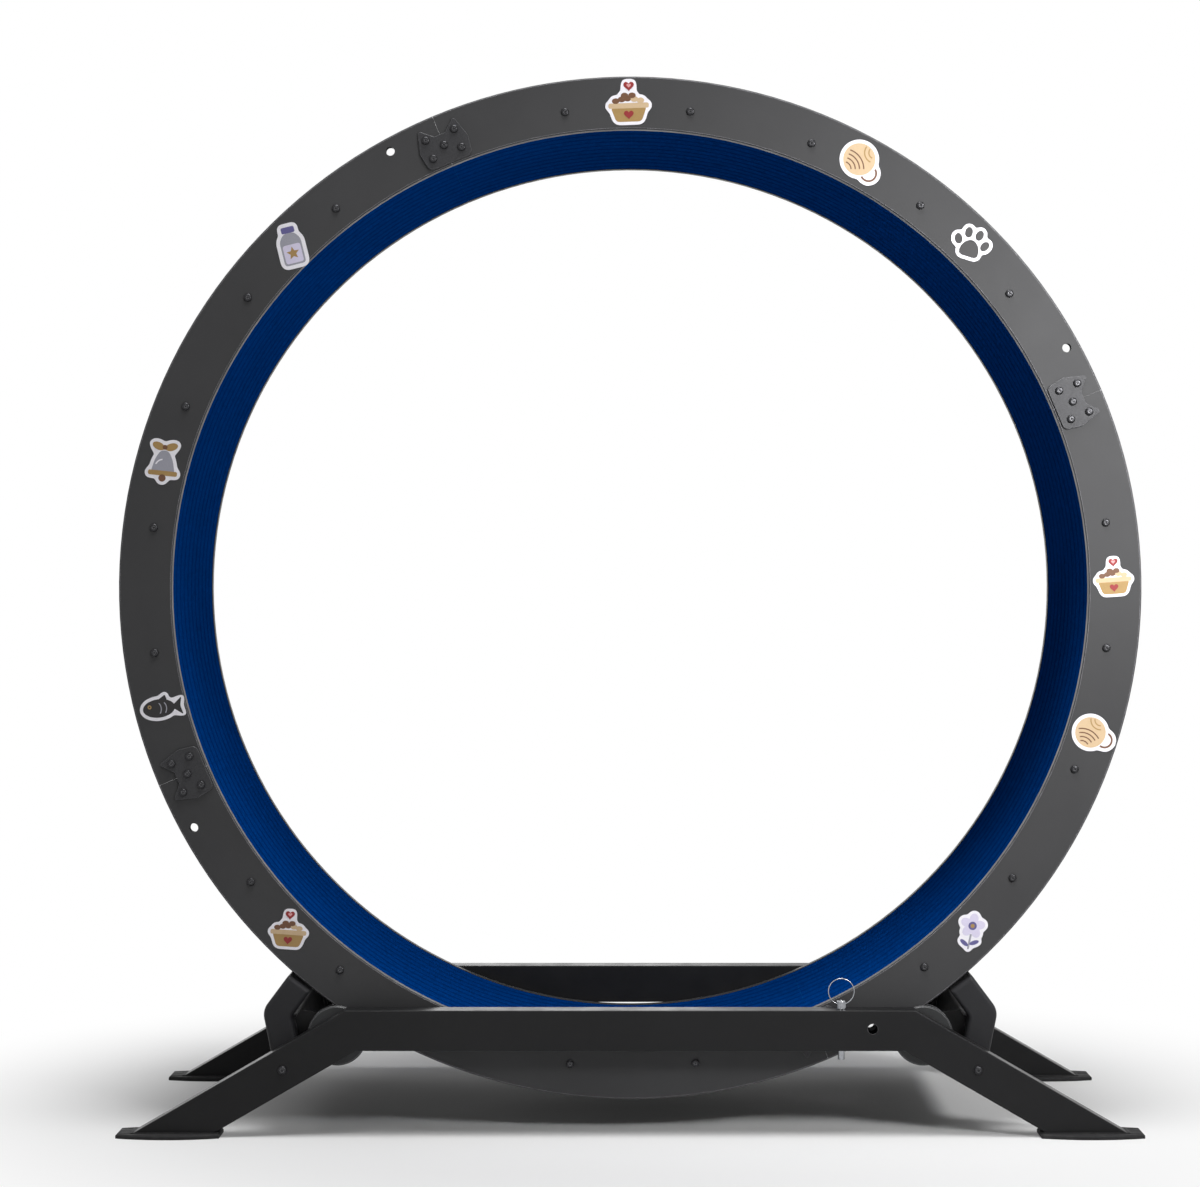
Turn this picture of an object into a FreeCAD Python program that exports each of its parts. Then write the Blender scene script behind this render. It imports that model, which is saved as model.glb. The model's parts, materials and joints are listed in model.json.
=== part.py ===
"""Cat exercise wheel: a ribbed running drum between two side rings, carried by four grooved rollers
on a floor base with two side frames, two guard beams and a lock pin.

Millimetres, +Z up, origin on the floor under the middle of the drum. The front is -Y and the wheel
turns about Y. Angles round the wheel are counted anticlockwise from +X, as seen from the front.
"""

import FreeCAD, Part
import Sketcher
import os

SIZES = {
    # wheel
    "rim_radius": 600,  # outside of the side rings
    "ring_width": 62,  # from the rim to the ring's inner edge
    "ring_thickness": 12,
    "ring_edge_chamfer": 1.5,
    "wheel_width": 350,  # over both rings
    "ground_gap": 38,  # between the rim and the floor
    "segment_count": 4,  # per ring
    "joint_gap": 0.1,
    "carpet_recess": 0.5,  # carpet surface behind the ring's inner edge
    "carpet_thickness": 4,
    "panel_thickness": 5,
    "panel_groove_depth": 3,
    "panel_groove_play": 0.2,
    # cross tubes
    "tubes_per_segment": 6,
    "tube_diameter": 30,
    "tube_wall": 1.5,
    "tube_plug_length": 25,
    "tube_seat_gap": 0.5,  # between the panels and the tubes
    # joint plates, measured from the screw circle
    "plate_thickness": 2.5,
    "plate_screw_side": 18,
    "plate_ear_screw_rise": 13,
    "plate_cheek_screw_drop": 10,
    "plate_ear_rise": 27,
    "plate_ear_side": 22.5,
    "plate_notch_rise": 13.5,
    "plate_notch_side": 7,
    "plate_cheek_side": 30.5,
    "plate_jaw_drop": 22,
    "plate_jaw_side": 27,
    "plate_ear_rounding": 2.5,
    "plate_jaw_rounding": 7,
    "plate_edge_chamfer": 0.4,
    # lock holes of the wheel
    "lock_hole_inset": 15.6,  # from the rim
    "lock_hole_lead": 6,  # degrees past a joint
    "lock_hole_diameter": 10.5,
    "lock_hole_rise": 2.1,  # above the middle of the frame's bar, where both lock holes meet
    # button-head screws and their nuts
    "screw_diameter": 5,
    "screw_head_diameter": 9.5,
    "screw_head_height": 2.75,
    "screw_head_dome": 0.8,  # share of the head's height that is rounded
    "screw_socket": 3,  # across flats
    "screw_socket_depth": 1.6,
    "ring_screw_length": 30,
    "joint_screw_length": 20,
    "nut_across_flats": 8,
    "nut_height": 4,
    "hole_play": 0.3,  # radial, of a clearance hole
    "thread_play": 0.05,  # radial, of a thread, drawn as a plain hole
    "thread_runout": 1,  # past a screw's tip
    # rollers
    "roller_diameter": 70,
    "roller_groove_depth": 8,
    "roller_groove_play": 1,  # beside the ring, each side
    "roller_width": 22,
    "roller_rim_chamfer": 1.5,
    "roller_run_gap": 0.3,  # between the rim and the groove
    "roller_angle": 33.2,  # from straight down, at the wheel's centre
    "bearing_diameter": 22,
    "bearing_width": 7,
    "bearing_bore": 8,
    "bearing_shoulder": 2,
    "bearing_seat_play": 0.05,
    "axle_play": 0.05,  # radial, between axle bolt and bearing
    "axle_head_across_flats": 13,
    "axle_head_height": 5.3,
    "axle_nut_diameter": 16,
    "axle_nut_height": 8,
    "spacer_diameter": 13,
    "spacer_play": 0.1,
    # side frames
    "frame_height": 47,
    "frame_depth": 30,
    "frame_wall": 2,
    "frame_rounding": 1.2,
    "frame_ring_gap": 7,  # between the frames and the side rings
    "leg_slope": 30,
    "axle_from_elbow": 21.4,  # along the leg
    "leg_screw_from_axle": 69.7,  # along the leg
    "leg_screw_diameter": 6,
    "leg_screw_head_diameter": 10.5,
    "leg_screw_head_height": 3.3,
    "leg_screw_socket": 4,
    "leg_screw_grip": 18,  # thread length in the guard
    "frame_lock_hole_diameter": 12,
    # feet
    "foot_thickness": 5,
    "foot_width": 41,  # at its toe and heel
    "foot_bulge": 10,  # of each long edge
    "foot_edge_chamfer": 1.5,
    "foot_toe": 19,  # in front of the leg's end
    "foot_heel": 7,
    "foot_collar_height": 1,
    "foot_collar_wall": 1.5,
    "foot_plug_height": 14,
    "foot_plug_play": 0.3,
    "foot_groove_width": 2.5,
    "foot_groove_depth": 1.5,
    "foot_groove_pitch": 14,
    # guard beams
    "guard_rim_gap": 4,
    "guard_angle": 50.1,  # of the upper end, below the horizontal at the wheel's centre
    "guard_arm_slope": 53.3,
    "guard_leg_tilt": 11.5,
    "guard_thickness": 32,
    "guard_arm_length": 51.5,  # on the outside of the bend
    "guard_leg_length": 72,  # on the inside of the bend
    "guard_wall": 4,
    "guard_end_wall": 22,
    "guard_bend_rounding": 22,
    "guard_inner_rounding": 11,
    "guard_rim_rounding": 2.5,  # along the upper end, beside the rim
    "guard_edge_rounding": 5,
    # roller brackets
    "bracket_thickness": 4,
    "bracket_roller_gap": 2,
    "bracket_above_axle": 24,
    "bracket_below_axle": 22,
    "bracket_past_axle": 20,
    "bracket_corner": 9,
    "bracket_top_drop": 5,  # of the flange's upper end below the guard's bend
    "bracket_flange_width": 24,
    "bracket_flange_drop": 52,  # of the flange's lower end below the guard's bend
    "bracket_screw_drop": 38,
    "bracket_screw_grip": 7,  # thread length in the guard
    # lock pin
    "pin_diameter": 8,
    "pin_from_middle": 246,
    "pin_below_bar": 12,
    "pin_tip_chamfer": 1,
    "pin_hole_play": 0.3,
    "pin_head_diameter": 11,
    "pin_head_height": 9.5,
    "pin_head_rounding": 1,
    "pin_eye_diameter": 3.6,
    "pin_eye_height": 5.2,  # above the bar
    "lock_ring_diameter": 30,  # of the wire's centre line
    "lock_ring_wire": 1.2,
}
NEAR = 1e-4  # distance within which two places on a shape are the same
LEAST_CUT = 0.01  # volume, below that of any real cut

document = FreeCAD.newDocument("cat_exercise_wheel")
sheet = document.addObject("Spreadsheet::Sheet", "Sizes")
for row, (name, number) in enumerate(SIZES.items(), start=1):
    sheet.set(f"A{row}", str(number))
    sheet.setAlias(f"A{row}", name)
document.recompute()

FRONT, REAR = -1, 1
LEFT, RIGHT = -1, 1
END_NAMES = {FRONT: "front", REAR: "rear"}
SIDE_NAMES = {LEFT: "left", RIGHT: "right"}
WHEEL_AXIS = FreeCAD.Vector(0, -1, 0)  # turns anticlockwise as seen from the front

pieces = []


def sized(text):
    """Turns {size} in a formula into the sheet's cell of that name."""
    for name in sorted(SIZES, key=len, reverse=True):
        text = text.replace("{" + name + "}", "Sizes." + name)
    return text


def value(text):
    """What a formula gives now."""
    return float(sheet.evalExpression(sized(text)))


# Formulas that several pieces share.
WHEEL_HEIGHT = "({ground_gap} + {rim_radius})"
HALF_WIDTH = "({wheel_width} / 2)"
INNER_HALF_WIDTH = "({wheel_width} / 2 - {ring_thickness})"
RING_MIDDLE = "({wheel_width} / 2 - {ring_thickness} / 2)"
RING_INNER_RADIUS = "({rim_radius} - {ring_width})"
CARPET_RADIUS = f"({RING_INNER_RADIUS} + {{carpet_recess}})"
PANEL_RADIUS = f"({CARPET_RADIUS} + {{carpet_thickness}})"
PANEL_BACK = f"({PANEL_RADIUS} + {{panel_thickness}})"
SCREW_CIRCLE = f"({PANEL_BACK} + {{tube_seat_gap}} + {{tube_diameter}} / 2)"
SEGMENT_TURN = "(360 / {segment_count})"
TUBE_STEP = "(360 / {segment_count} / {tubes_per_segment})"
SEGMENT_SWEEP = "(360 / {segment_count} - {joint_gap} / {rim_radius} * 180 / pi)"
LOCK_RADIUS = "({rim_radius} - {lock_hole_inset})"

GROOVE_RADIUS = "({roller_diameter} / 2 - {roller_groove_depth})"
ROLLER_REACH = f"({{rim_radius}} + {{roller_run_gap}} + {GROOVE_RADIUS})"
ROLLER_X = f"({ROLLER_REACH} * sin({{roller_angle}}))"
ROLLER_Z = f"({WHEEL_HEIGHT} - {ROLLER_REACH} * cos({{roller_angle}}))"

FRAME_MIDDLE = "({wheel_width} / 2 + {frame_ring_gap} + {frame_depth} / 2)"
FRAME_FACE = "({wheel_width} / 2 + {frame_ring_gap})"  # the face towards the wheel
ELBOW_X = f"({ROLLER_X} - {{axle_from_elbow}} * cos({{leg_slope}}))"
BAR_Z = f"({ROLLER_Z} + {{axle_from_elbow}} * sin({{leg_slope}}))"
BAR_TOP = f"({BAR_Z} + {{frame_height}} / 2)"
LOCK_Z = f"({BAR_Z} + {{lock_hole_rise}})"
LOCK_ANGLE = f"(-asin(({WHEEL_HEIGHT} - {LOCK_Z}) / {LOCK_RADIUS}) / 1deg)"
LOCK_X = f"({LOCK_RADIUS} * cos({LOCK_ANGLE}))"
FIRST_JOINT = f"({LOCK_ANGLE} - {{lock_hole_lead}} + {SEGMENT_TURN})"  # its angle round the wheel
LEG_SCREW_X = f"({ROLLER_X} + {{leg_screw_from_axle}} * cos({{leg_slope}}))"
LEG_SCREW_Z = f"({ROLLER_Z} - {{leg_screw_from_axle}} * sin({{leg_slope}}))"
LEG_END_X = f"({ELBOW_X} + ({BAR_Z} - {{foot_thickness}}) / tan({{leg_slope}}))"

ARM_START_X = "(({rim_radius} + {guard_rim_gap}) * cos({guard_angle}))"
ARM_START_Z = f"({WHEEL_HEIGHT} - ({{rim_radius}} + {{guard_rim_gap}}) * sin({{guard_angle}}))"
GUARD_TURN = "(90 - {guard_arm_slope} + {guard_leg_tilt})"
BEND_RISE = f"({{guard_thickness}} * tan({GUARD_TURN} / 2))"
INNER_ARM = f"({{guard_arm_length}} - {BEND_RISE})"
BEND_X = (
    f"({ARM_START_X} + {INNER_ARM} * cos({{guard_arm_slope}})"
    " - {guard_thickness} / 2 * sin({guard_arm_slope}))"
)
BEND_Z = (
    f"({ARM_START_Z} - {INNER_ARM} * sin({{guard_arm_slope}})"
    " - {guard_thickness} / 2 * cos({guard_arm_slope}))"
)


def new_body(label):
    body = document.addObject("PartDesign::Body", label)
    body.Label = label
    return body


def origin_of(body, role):
    return next(item for item in body.Origin.OriginFeatures if item.Role == role)


def bind(item, place, text):
    item.setExpression(place, sized(text))


def new_sketch(body, name, plane, offset="0"):
    """A sketch on a plane of the body's origin. XZ_Plane looks along +Y, so its offset is minus Y."""
    sketch = body.newObject("Sketcher::SketchObject", name)
    sketch.AttachmentSupport = [(origin_of(body, plane), "")]
    sketch.MapMode = "FlatFace"
    if offset != "0":
        bind(sketch, "AttachmentOffset.Base.z", offset)
    return sketch


def dimension(sketch, kind, where, text):
    spot = sketch.addConstraint(Sketcher.Constraint(kind, *where, value(text)))
    bind(sketch, f"Constraints[{spot}]", text)


def pin_point(sketch, edge, end, x, y):
    dimension(sketch, "DistanceX", (-1, 1, edge, end), x)
    dimension(sketch, "DistanceY", (-1, 1, edge, end), y)


def draw_outline(sketch, corners):
    """A closed outline of straight edges through corners, each a pair of formulas."""
    spots = [FreeCAD.Vector(value(x), value(y), 0) for x, y in corners]
    first = sketch.GeometryCount
    count = len(corners)
    for at in range(count):
        sketch.addGeometry(Part.LineSegment(spots[at], spots[(at + 1) % count]), False)
    for at in range(count):
        sketch.addConstraint(
            Sketcher.Constraint("Coincident", first + at, 2, first + (at + 1) % count, 1)
        )
    for at, (x, y) in enumerate(corners):
        pin_point(sketch, first + at, 1, x, y)


def draw_circle(sketch, x, y, radius):
    centre = FreeCAD.Vector(value(x), value(y), 0)
    edge = sketch.addGeometry(Part.Circle(centre, FreeCAD.Vector(0, 0, 1), value(radius)), False)
    pin_point(sketch, edge, 3, x, y)
    dimension(sketch, "Radius", (edge,), radius)


def draw_hexagon(sketch, x, y, across_flats):
    corner = f"({across_flats} / sqrt(3))"
    draw_outline(
        sketch,
        [(f"{x} + {corner} * cos({60 * k})", f"{y} + {corner} * sin({60 * k})") for k in range(6)],
    )


def mirrored_outline(corners):
    """The corners of the +X half, top to bottom, and then their mirror images back up."""
    return corners + [(f"-({x})", y) for x, y in reversed(corners)]


def pad(body, sketch, length, middle=False, reverse=False):
    feature = body.newObject("PartDesign::Pad", sketch.Name + "_pad")
    feature.Profile = sketch
    feature.SideType = "Symmetric" if middle else "One side"
    feature.Reversed = reverse
    bind(feature, "Length", length)
    document.recompute()
    return feature


def pocket(body, sketch, length, middle=False, reverse=False):
    """Cuts the sketch's shape out, and stops if that takes no material away."""
    before = body.Shape.Volume
    feature = body.newObject("PartDesign::Pocket", sketch.Name + "_cut")
    feature.Profile = sketch
    feature.SideType = "Symmetric" if middle else "One side"
    feature.Reversed = reverse
    bind(feature, "Length", length)
    document.recompute()
    if body.Shape.Volume > before - LEAST_CUT:
        raise RuntimeError(f"{body.Label}: {feature.Name} cuts nothing")
    return feature


def revolve(body, sketch, sweep="360", middle=False):
    """Turns a sketch about its own vertical axis."""
    feature = body.newObject("PartDesign::Revolution", sketch.Name + "_turned")
    feature.Profile = sketch
    feature.ReferenceAxis = (sketch, ["V_Axis"])
    feature.Midplane = middle
    bind(feature, "Angle", sweep)
    document.recompute()
    return feature


def turn_copies(body, features, count, sweep):
    """Copies features round the body's Y axis."""
    pattern = body.newObject("PartDesign::PolarPattern", features[0].Name + "_copies")
    pattern.Originals = features
    pattern.Axis = (origin_of(body, "Y_Axis"), [""])
    bind(pattern, "Angle", sweep)
    bind(pattern, "Occurrences", count)
    body.Tip = pattern
    document.recompute()


def copy_all(body, *steps):
    """Copies all that a body holds. A step is a mirror plane or a count and sweep round its Y axis."""
    pattern = body.newObject("PartDesign::MultiTransform", "copies")
    parts = []
    for step in steps:
        if isinstance(step, str):
            part = body.newObject("PartDesign::Mirrored", "mirror")
            part.MirrorPlane = (origin_of(body, step), [""])
        else:
            count, sweep = step
            part = body.newObject("PartDesign::PolarPattern", "turn")
            part.Axis = (origin_of(body, "Y_Axis"), [""])
            bind(part, "Angle", sweep)
            bind(part, "Occurrences", count)
        parts.append(part)
    pattern.TransformMode = "Whole shape"
    pattern.Transformations = parts
    body.Tip = pattern
    document.recompute()


def edges_where(feature, test):
    return [f"Edge{at}" for at, edge in enumerate(feature.Shape.Edges, start=1) if test(edge)]


def dress(body, kind, feature, test, size):
    """A Fillet or Chamfer on the edges of a feature that pass the test."""
    item = body.newObject("PartDesign::" + kind, f"{feature.Name}_{kind.lower()}")
    item.Base = (feature, edges_where(feature, test))
    bind(item, "Radius" if kind == "Fillet" else "Size", size)
    document.recompute()
    return item


def place(body, x="0", y="0", z="0", axis=None, angle="0"):
    """Puts a body at a place, turned about an axis. A turn of nothing would forget its axis, so it
    is set with one degree before its angle is bound."""
    if axis:
        body.Placement = FreeCAD.Placement(FreeCAD.Vector(), FreeCAD.Rotation(axis, 1))
    bind(body, "Placement.Base.x", x)
    bind(body, "Placement.Base.y", y)
    bind(body, "Placement.Base.z", z)
    if axis:
        bind(body, "Placement.Rotation.Angle", angle)


def finish(body):
    pieces.append(body)


def along_y(edge):
    """True for a straight edge parallel to Y."""
    ends = [vertex.Point for vertex in edge.Vertexes]
    if len(ends) != 2 or edge.Curve.TypeId != "Part::GeomLine":
        return False
    run = ends[1] - ends[0]
    return abs(run.x) + abs(run.z) < NEAR


def at_y(edge, y):
    box = edge.BoundBox
    return abs(box.YMin - y) < NEAR and abs(box.YMax - y) < NEAR


# ---------------------------------------------------------------- the wheel


def ring_segment(end, number):
    """One segment of a side ring, drawn about +X and turned to its place, with the panel's groove
    in its inner face, screw holes over the cross tubes and the joint plates, and one lock hole."""
    body = new_body(f"{END_NAMES[end]}_ring_segment_{number}")
    face = f"({end} * {HALF_WIDTH})"
    back = f"({end} * {INNER_HALF_WIDTH})"
    chamfer = "{ring_edge_chamfer}"
    groove_floor = f"({back} + {end} * {{panel_groove_depth}})"
    section = new_sketch(body, "section", "XY_Plane")
    draw_outline(
        section,
        [
            (RING_INNER_RADIUS, f"{face} - {end} * {chamfer}"),
            (f"{RING_INNER_RADIUS} + {chamfer}", face),
            (f"{{rim_radius}} - {chamfer}", face),
            ("{rim_radius}", f"{face} - {end} * {chamfer}"),
            ("{rim_radius}", f"{back} + {end} * {chamfer}"),
            (f"{{rim_radius}} - {chamfer}", back),
            (f"{PANEL_BACK} + {{panel_groove_play}}", back),
            (f"{PANEL_BACK} + {{panel_groove_play}}", groove_floor),
            (f"{PANEL_RADIUS} - {{panel_groove_play}}", groove_floor),
            (f"{PANEL_RADIUS} - {{panel_groove_play}}", back),
            (RING_INNER_RADIUS, back),
        ],
    )
    revolve(body, section, SEGMENT_SWEEP, middle=True)

    screw_radius = "{screw_diameter} / 2 + {hole_play}"
    tube_holes = new_sketch(body, "tube_screw_hole", "XZ_Plane")
    draw_circle(
        tube_holes,
        f"{SCREW_CIRCLE} * cos({SEGMENT_TURN} / 2)",
        f"{SCREW_CIRCLE} * sin({SEGMENT_TURN} / 2)",
        screw_radius,
    )
    first_hole = pocket(body, tube_holes, "{wheel_width}", middle=True)
    turn_copies(body, [first_hole], "{tubes_per_segment} + 1", SEGMENT_TURN)

    plate_holes = new_sketch(body, "plate_screw_holes", "XZ_Plane")
    for joint in (-1, 1):
        for rise in ("{plate_ear_screw_rise}", "-{plate_cheek_screw_drop}"):
            radius = f"({SCREW_CIRCLE} + {rise})"
            x = f"{radius} * cos({SEGMENT_TURN} / 2) + {{plate_screw_side}} * sin({SEGMENT_TURN} / 2)"
            y = f"{radius} * sin({SEGMENT_TURN} / 2) - {{plate_screw_side}} * cos({SEGMENT_TURN} / 2)"
            draw_circle(plate_holes, x, f"{joint} * ({y})", screw_radius)
    pocket(body, plate_holes, "{wheel_width}", middle=True)

    lock_hole = new_sketch(body, "lock_hole", "XZ_Plane")
    lead = f"({{lock_hole_lead}} - {SEGMENT_TURN} / 2)"
    draw_circle(
        lock_hole,
        f"{LOCK_RADIUS} * cos({lead})",
        f"{LOCK_RADIUS} * sin({lead})",
        "{lock_hole_diameter} / 2",
    )
    pocket(body, lock_hole, "{wheel_width}", middle=True)
    place_on_wheel(body, f"{number} - 0.5")
    finish(body)


def place_on_wheel(body, turns):
    """Turns a body that is drawn about +X to a place counted in segments from the first joint."""
    angle = f"{FIRST_JOINT} + ({turns}) * {SEGMENT_TURN}"
    place(body, z=WHEEL_HEIGHT, axis=WHEEL_AXIS, angle=angle)


def drum_strip(label, number, inner, outer, half_width):
    """A strip of the drum's wall over one segment."""
    body = new_body(f"{label}_{number}")
    section = new_sketch(body, "section", "XY_Plane")
    draw_outline(
        section,
        [
            (inner, f"-{half_width}"),
            (outer, f"-{half_width}"),
            (outer, half_width),
            (inner, half_width),
        ],
    )
    revolve(body, section, SEGMENT_SWEEP, middle=True)
    place_on_wheel(body, f"{number} - 0.5")
    finish(body)


def cross_tubes(number):
    """The tubes of one segment, with a tapped plug in each end. The first stands at the joint."""
    body = new_body(f"cross_tubes_{number}")
    tube = new_sketch(body, "tube", "XZ_Plane")
    draw_circle(tube, SCREW_CIRCLE, "0", "{tube_diameter} / 2")
    solid = pad(body, tube, f"2 * {INNER_HALF_WIDTH}", middle=True)
    bore = new_sketch(body, "bore", "XZ_Plane")
    draw_circle(bore, SCREW_CIRCLE, "0", "{tube_diameter} / 2 - {tube_wall}")
    hollow = pocket(body, bore, f"2 * ({INNER_HALF_WIDTH} - {{tube_plug_length}})", middle=True)
    thread = new_sketch(body, "thread", "XZ_Plane")
    draw_circle(thread, SCREW_CIRCLE, "0", "{screw_diameter} / 2 + {thread_play}")
    tapped = pocket(body, thread, "{wheel_width}", middle=True)
    sweep = f"{TUBE_STEP} * ({{tubes_per_segment}} - 1)"
    turn_copies(body, [solid, hollow, tapped], "{tubes_per_segment}", sweep)
    place_on_wheel(body, f"{number} - 1 + ({{tubes_per_segment}} - 1) / {{tubes_per_segment}}")
    finish(body)


def joint_plate(end, number):
    """A cat-head plate over one joint of a ring, drawn about +X with its ears outwards."""
    body = new_body(f"{END_NAMES[end]}_joint_plate_{number}")
    outline = new_sketch(body, "outline", "XZ_Plane", f"-({end} * {HALF_WIDTH})")
    half = [
        (f"{SCREW_CIRCLE} + {{plate_notch_rise}}", "{plate_notch_side}"),
        (f"{SCREW_CIRCLE} + {{plate_ear_rise}}", "{plate_ear_side}"),
        (SCREW_CIRCLE, "{plate_cheek_side}"),
        (f"{SCREW_CIRCLE} - {{plate_jaw_drop}}", "{plate_jaw_side}"),
    ]
    draw_outline(outline, half + [(x, f"-({y})") for x, y in reversed(half)])
    blank = pad(body, outline, "{plate_thickness}", reverse=end == REAR)
    ear = value(f"{SCREW_CIRCLE} + {{plate_ear_rise}}")
    jaw = value(f"{SCREW_CIRCLE} - {{plate_jaw_drop}}")
    cheek = value(SCREW_CIRCLE)

    def corner_at(*radii):
        return lambda edge: along_y(edge) and any(abs(edge.BoundBox.XMin - r) < NEAR for r in radii)

    ears = dress(body, "Fillet", blank, corner_at(ear), "{plate_ear_rounding}")
    rounded = dress(body, "Fillet", ears, corner_at(jaw, cheek), "{plate_jaw_rounding}")
    outside = value(f"{end} * ({HALF_WIDTH} + {{plate_thickness}})")
    dress(body, "Chamfer", rounded, lambda edge: at_y(edge, outside), "{plate_edge_chamfer}")
    holes = new_sketch(body, "holes", "XZ_Plane")
    for x, y in plate_screw_spots():
        draw_circle(holes, x, y, "{screw_diameter} / 2 + {hole_play}")
    pocket(body, holes, "2 * {wheel_width}", middle=True)
    place_on_wheel(body, f"{number} - 1")
    finish(body)


def plate_screw_spots(middle=True):
    """Where a joint plate's screws stand, as drawn about +X."""
    spots = [(SCREW_CIRCLE, "0")] if middle else []
    for side in (-1, 1):
        y = f"{side} * {{plate_screw_side}}"
        spots.append((f"{SCREW_CIRCLE} + {{plate_ear_screw_rise}}", y))
        spots.append((f"{SCREW_CIRCLE} - {{plate_cheek_screw_drop}}", y))
    return spots


SMALL_SCREW = ("{screw_diameter}", "{screw_head_diameter}", "{screw_head_height}", "{screw_socket}")
LEG_SCREW = (
    "{leg_screw_diameter}",
    "{leg_screw_head_diameter}",
    "{leg_screw_head_height}",
    "{leg_screw_socket}",
)


def upright(body, name, x, z):
    """A sketch whose vertical axis runs along +Y through the point x, z."""
    sketch = new_sketch(body, name, "XY_Plane", z)
    bind(sketch, "AttachmentOffset.Base.x", x)
    return sketch


def screw(body, section, seat, length, sizes):
    """A button-head screw about a sketch's vertical axis, its shaft upwards from the height seat."""
    diameter, head_diameter, head_height, socket = sizes
    tip = f"({seat} + {length})"
    top = f"({seat} - {head_height})"
    shaft = f"{diameter} / 2"
    head = f"{head_diameter} / 2"
    draw_outline(section, [("0", tip), (shaft, tip), (shaft, seat), (head, seat), (head, top), ("0", top)])
    blank = revolve(body, section)
    middle = section.Placement.multVec(FreeCAD.Vector(0, value(top), 0))

    def head_rim(edge):
        round_edge = edge.Curve.TypeId == "Part::GeomCircle"
        return round_edge and edge.Curve.Center.distanceToPoint(middle) < NEAR

    dress(body, "Fillet", blank, head_rim, f"{{screw_head_dome}} * {head_height}")
    drive = body.newObject("Sketcher::SketchObject", section.Name + "_socket")
    drive.AttachmentSupport = [(section, "")]
    drive.MapMode = "ObjectXZ"
    bind(drive, "AttachmentOffset.Base.z", f"-{top}")
    draw_hexagon(drive, "0", "0", socket)
    pocket(body, drive, "{screw_socket_depth}")


def ring_screws():
    """The single screws of both rings, one into each tube end that has no joint plate."""
    body = new_body("ring_screws")
    section = upright(body, "screw", SCREW_CIRCLE, "0")
    screw(body, section, f"-{HALF_WIDTH}", "{ring_screw_length}", SMALL_SCREW)
    one_segment = ("{tubes_per_segment} - 1", f"{TUBE_STEP} * ({{tubes_per_segment}} - 2)")
    copy_all(body, one_segment, ("{segment_count}", "360"), "XZ_Plane")
    place_on_wheel(body, "({tubes_per_segment} - 1) / {tubes_per_segment}")
    finish(body)


def plate_screws():
    """Five screws through each joint plate: the middle one into the joint's tube, four to nuts."""
    body = new_body("plate_screws")
    seat = f"-({HALF_WIDTH} + {{plate_thickness}})"
    for number, (x, z) in enumerate(plate_screw_spots()):
        section = upright(body, f"screw_{number}", x, z)
        length = "{joint_screw_length}" if number else "{ring_screw_length}"
        screw(body, section, seat, length, SMALL_SCREW)
    copy_all(body, ("{segment_count}", "360"), "XZ_Plane")
    place_on_wheel(body, "0")
    finish(body)


def joint_nuts():
    """The nuts of the joint plates' outer screws, on the inner faces of the rings."""
    body = new_body("joint_nuts")
    outline = new_sketch(body, "outline", "XZ_Plane", INNER_HALF_WIDTH)
    for x, z in plate_screw_spots(middle=False):
        draw_hexagon(outline, x, z, "{nut_across_flats}")
        draw_circle(outline, x, z, "{screw_diameter} / 2 + {thread_play}")
    pad(body, outline, "{nut_height}", reverse=True)
    copy_all(body, ("{segment_count}", "360"), "XZ_Plane")
    place_on_wheel(body, "0")
    finish(body)


def wheel():
    for number in range(1, int(value("{segment_count}")) + 1):
        for end in (FRONT, REAR):
            ring_segment(end, number)
            joint_plate(end, number)
        drum_strip("carpet", number, CARPET_RADIUS, PANEL_RADIUS, INNER_HALF_WIDTH)
        panel_half = f"({INNER_HALF_WIDTH} + {{panel_groove_depth}} - {{panel_groove_play}})"
        drum_strip("running_panel", number, PANEL_RADIUS, PANEL_BACK, panel_half)
        cross_tubes(number)
    ring_screws()
    plate_screws()
    joint_nuts()


# ---------------------------------------------------------------- the rollers


def roller(end, side):
    """A grooved roller, turned about Y, with a bearing seat in each face."""
    body = new_body(f"{END_NAMES[end]}_{SIDE_NAMES[side]}_roller")
    half = "({roller_width} / 2)"
    rim = "({roller_diameter} / 2)"
    groove = "({ring_thickness} / 2 + {roller_groove_play})"
    seat = "({bearing_diameter} / 2 + {bearing_seat_play})"
    shoulder = "({bearing_diameter} / 2 - {bearing_shoulder})"
    chamfer = "{roller_rim_chamfer}"
    upper = [
        (shoulder, f"{half} - {{bearing_width}}"),
        (seat, f"{half} - {{bearing_width}}"),
        (seat, half),
        (f"{rim} - {chamfer}", half),
        (rim, f"{half} - {chamfer}"),
        (rim, groove),
        (GROOVE_RADIUS, groove),
    ]
    section = new_sketch(body, "section", "XY_Plane")
    draw_outline(section, upper + [(x, f"-({y})") for x, y in reversed(upper)])
    revolve(body, section)
    place(body, f"{side} * {ROLLER_X}", f"{end} * {RING_MIDDLE}", ROLLER_Z)
    finish(body)


def roller_bearings(end, side):
    """The two bearings of a roller, one in each face."""
    body = new_body(f"{END_NAMES[end]}_{SIDE_NAMES[side]}_roller_bearings")
    section = new_sketch(body, "section", "XY_Plane")
    bore = "{bearing_bore} / 2"
    outer = "{bearing_diameter} / 2"
    for facing in (-1, 1):
        near = f"{facing} * ({{roller_width}} / 2 - {{bearing_width}})"
        far = f"{facing} * {{roller_width}} / 2"
        draw_outline(section, [(bore, near), (outer, near), (outer, far), (bore, far)])
    revolve(body, section)
    place(body, f"{side} * {ROLLER_X}", f"{end} * {RING_MIDDLE}", ROLLER_Z)
    finish(body)


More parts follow.
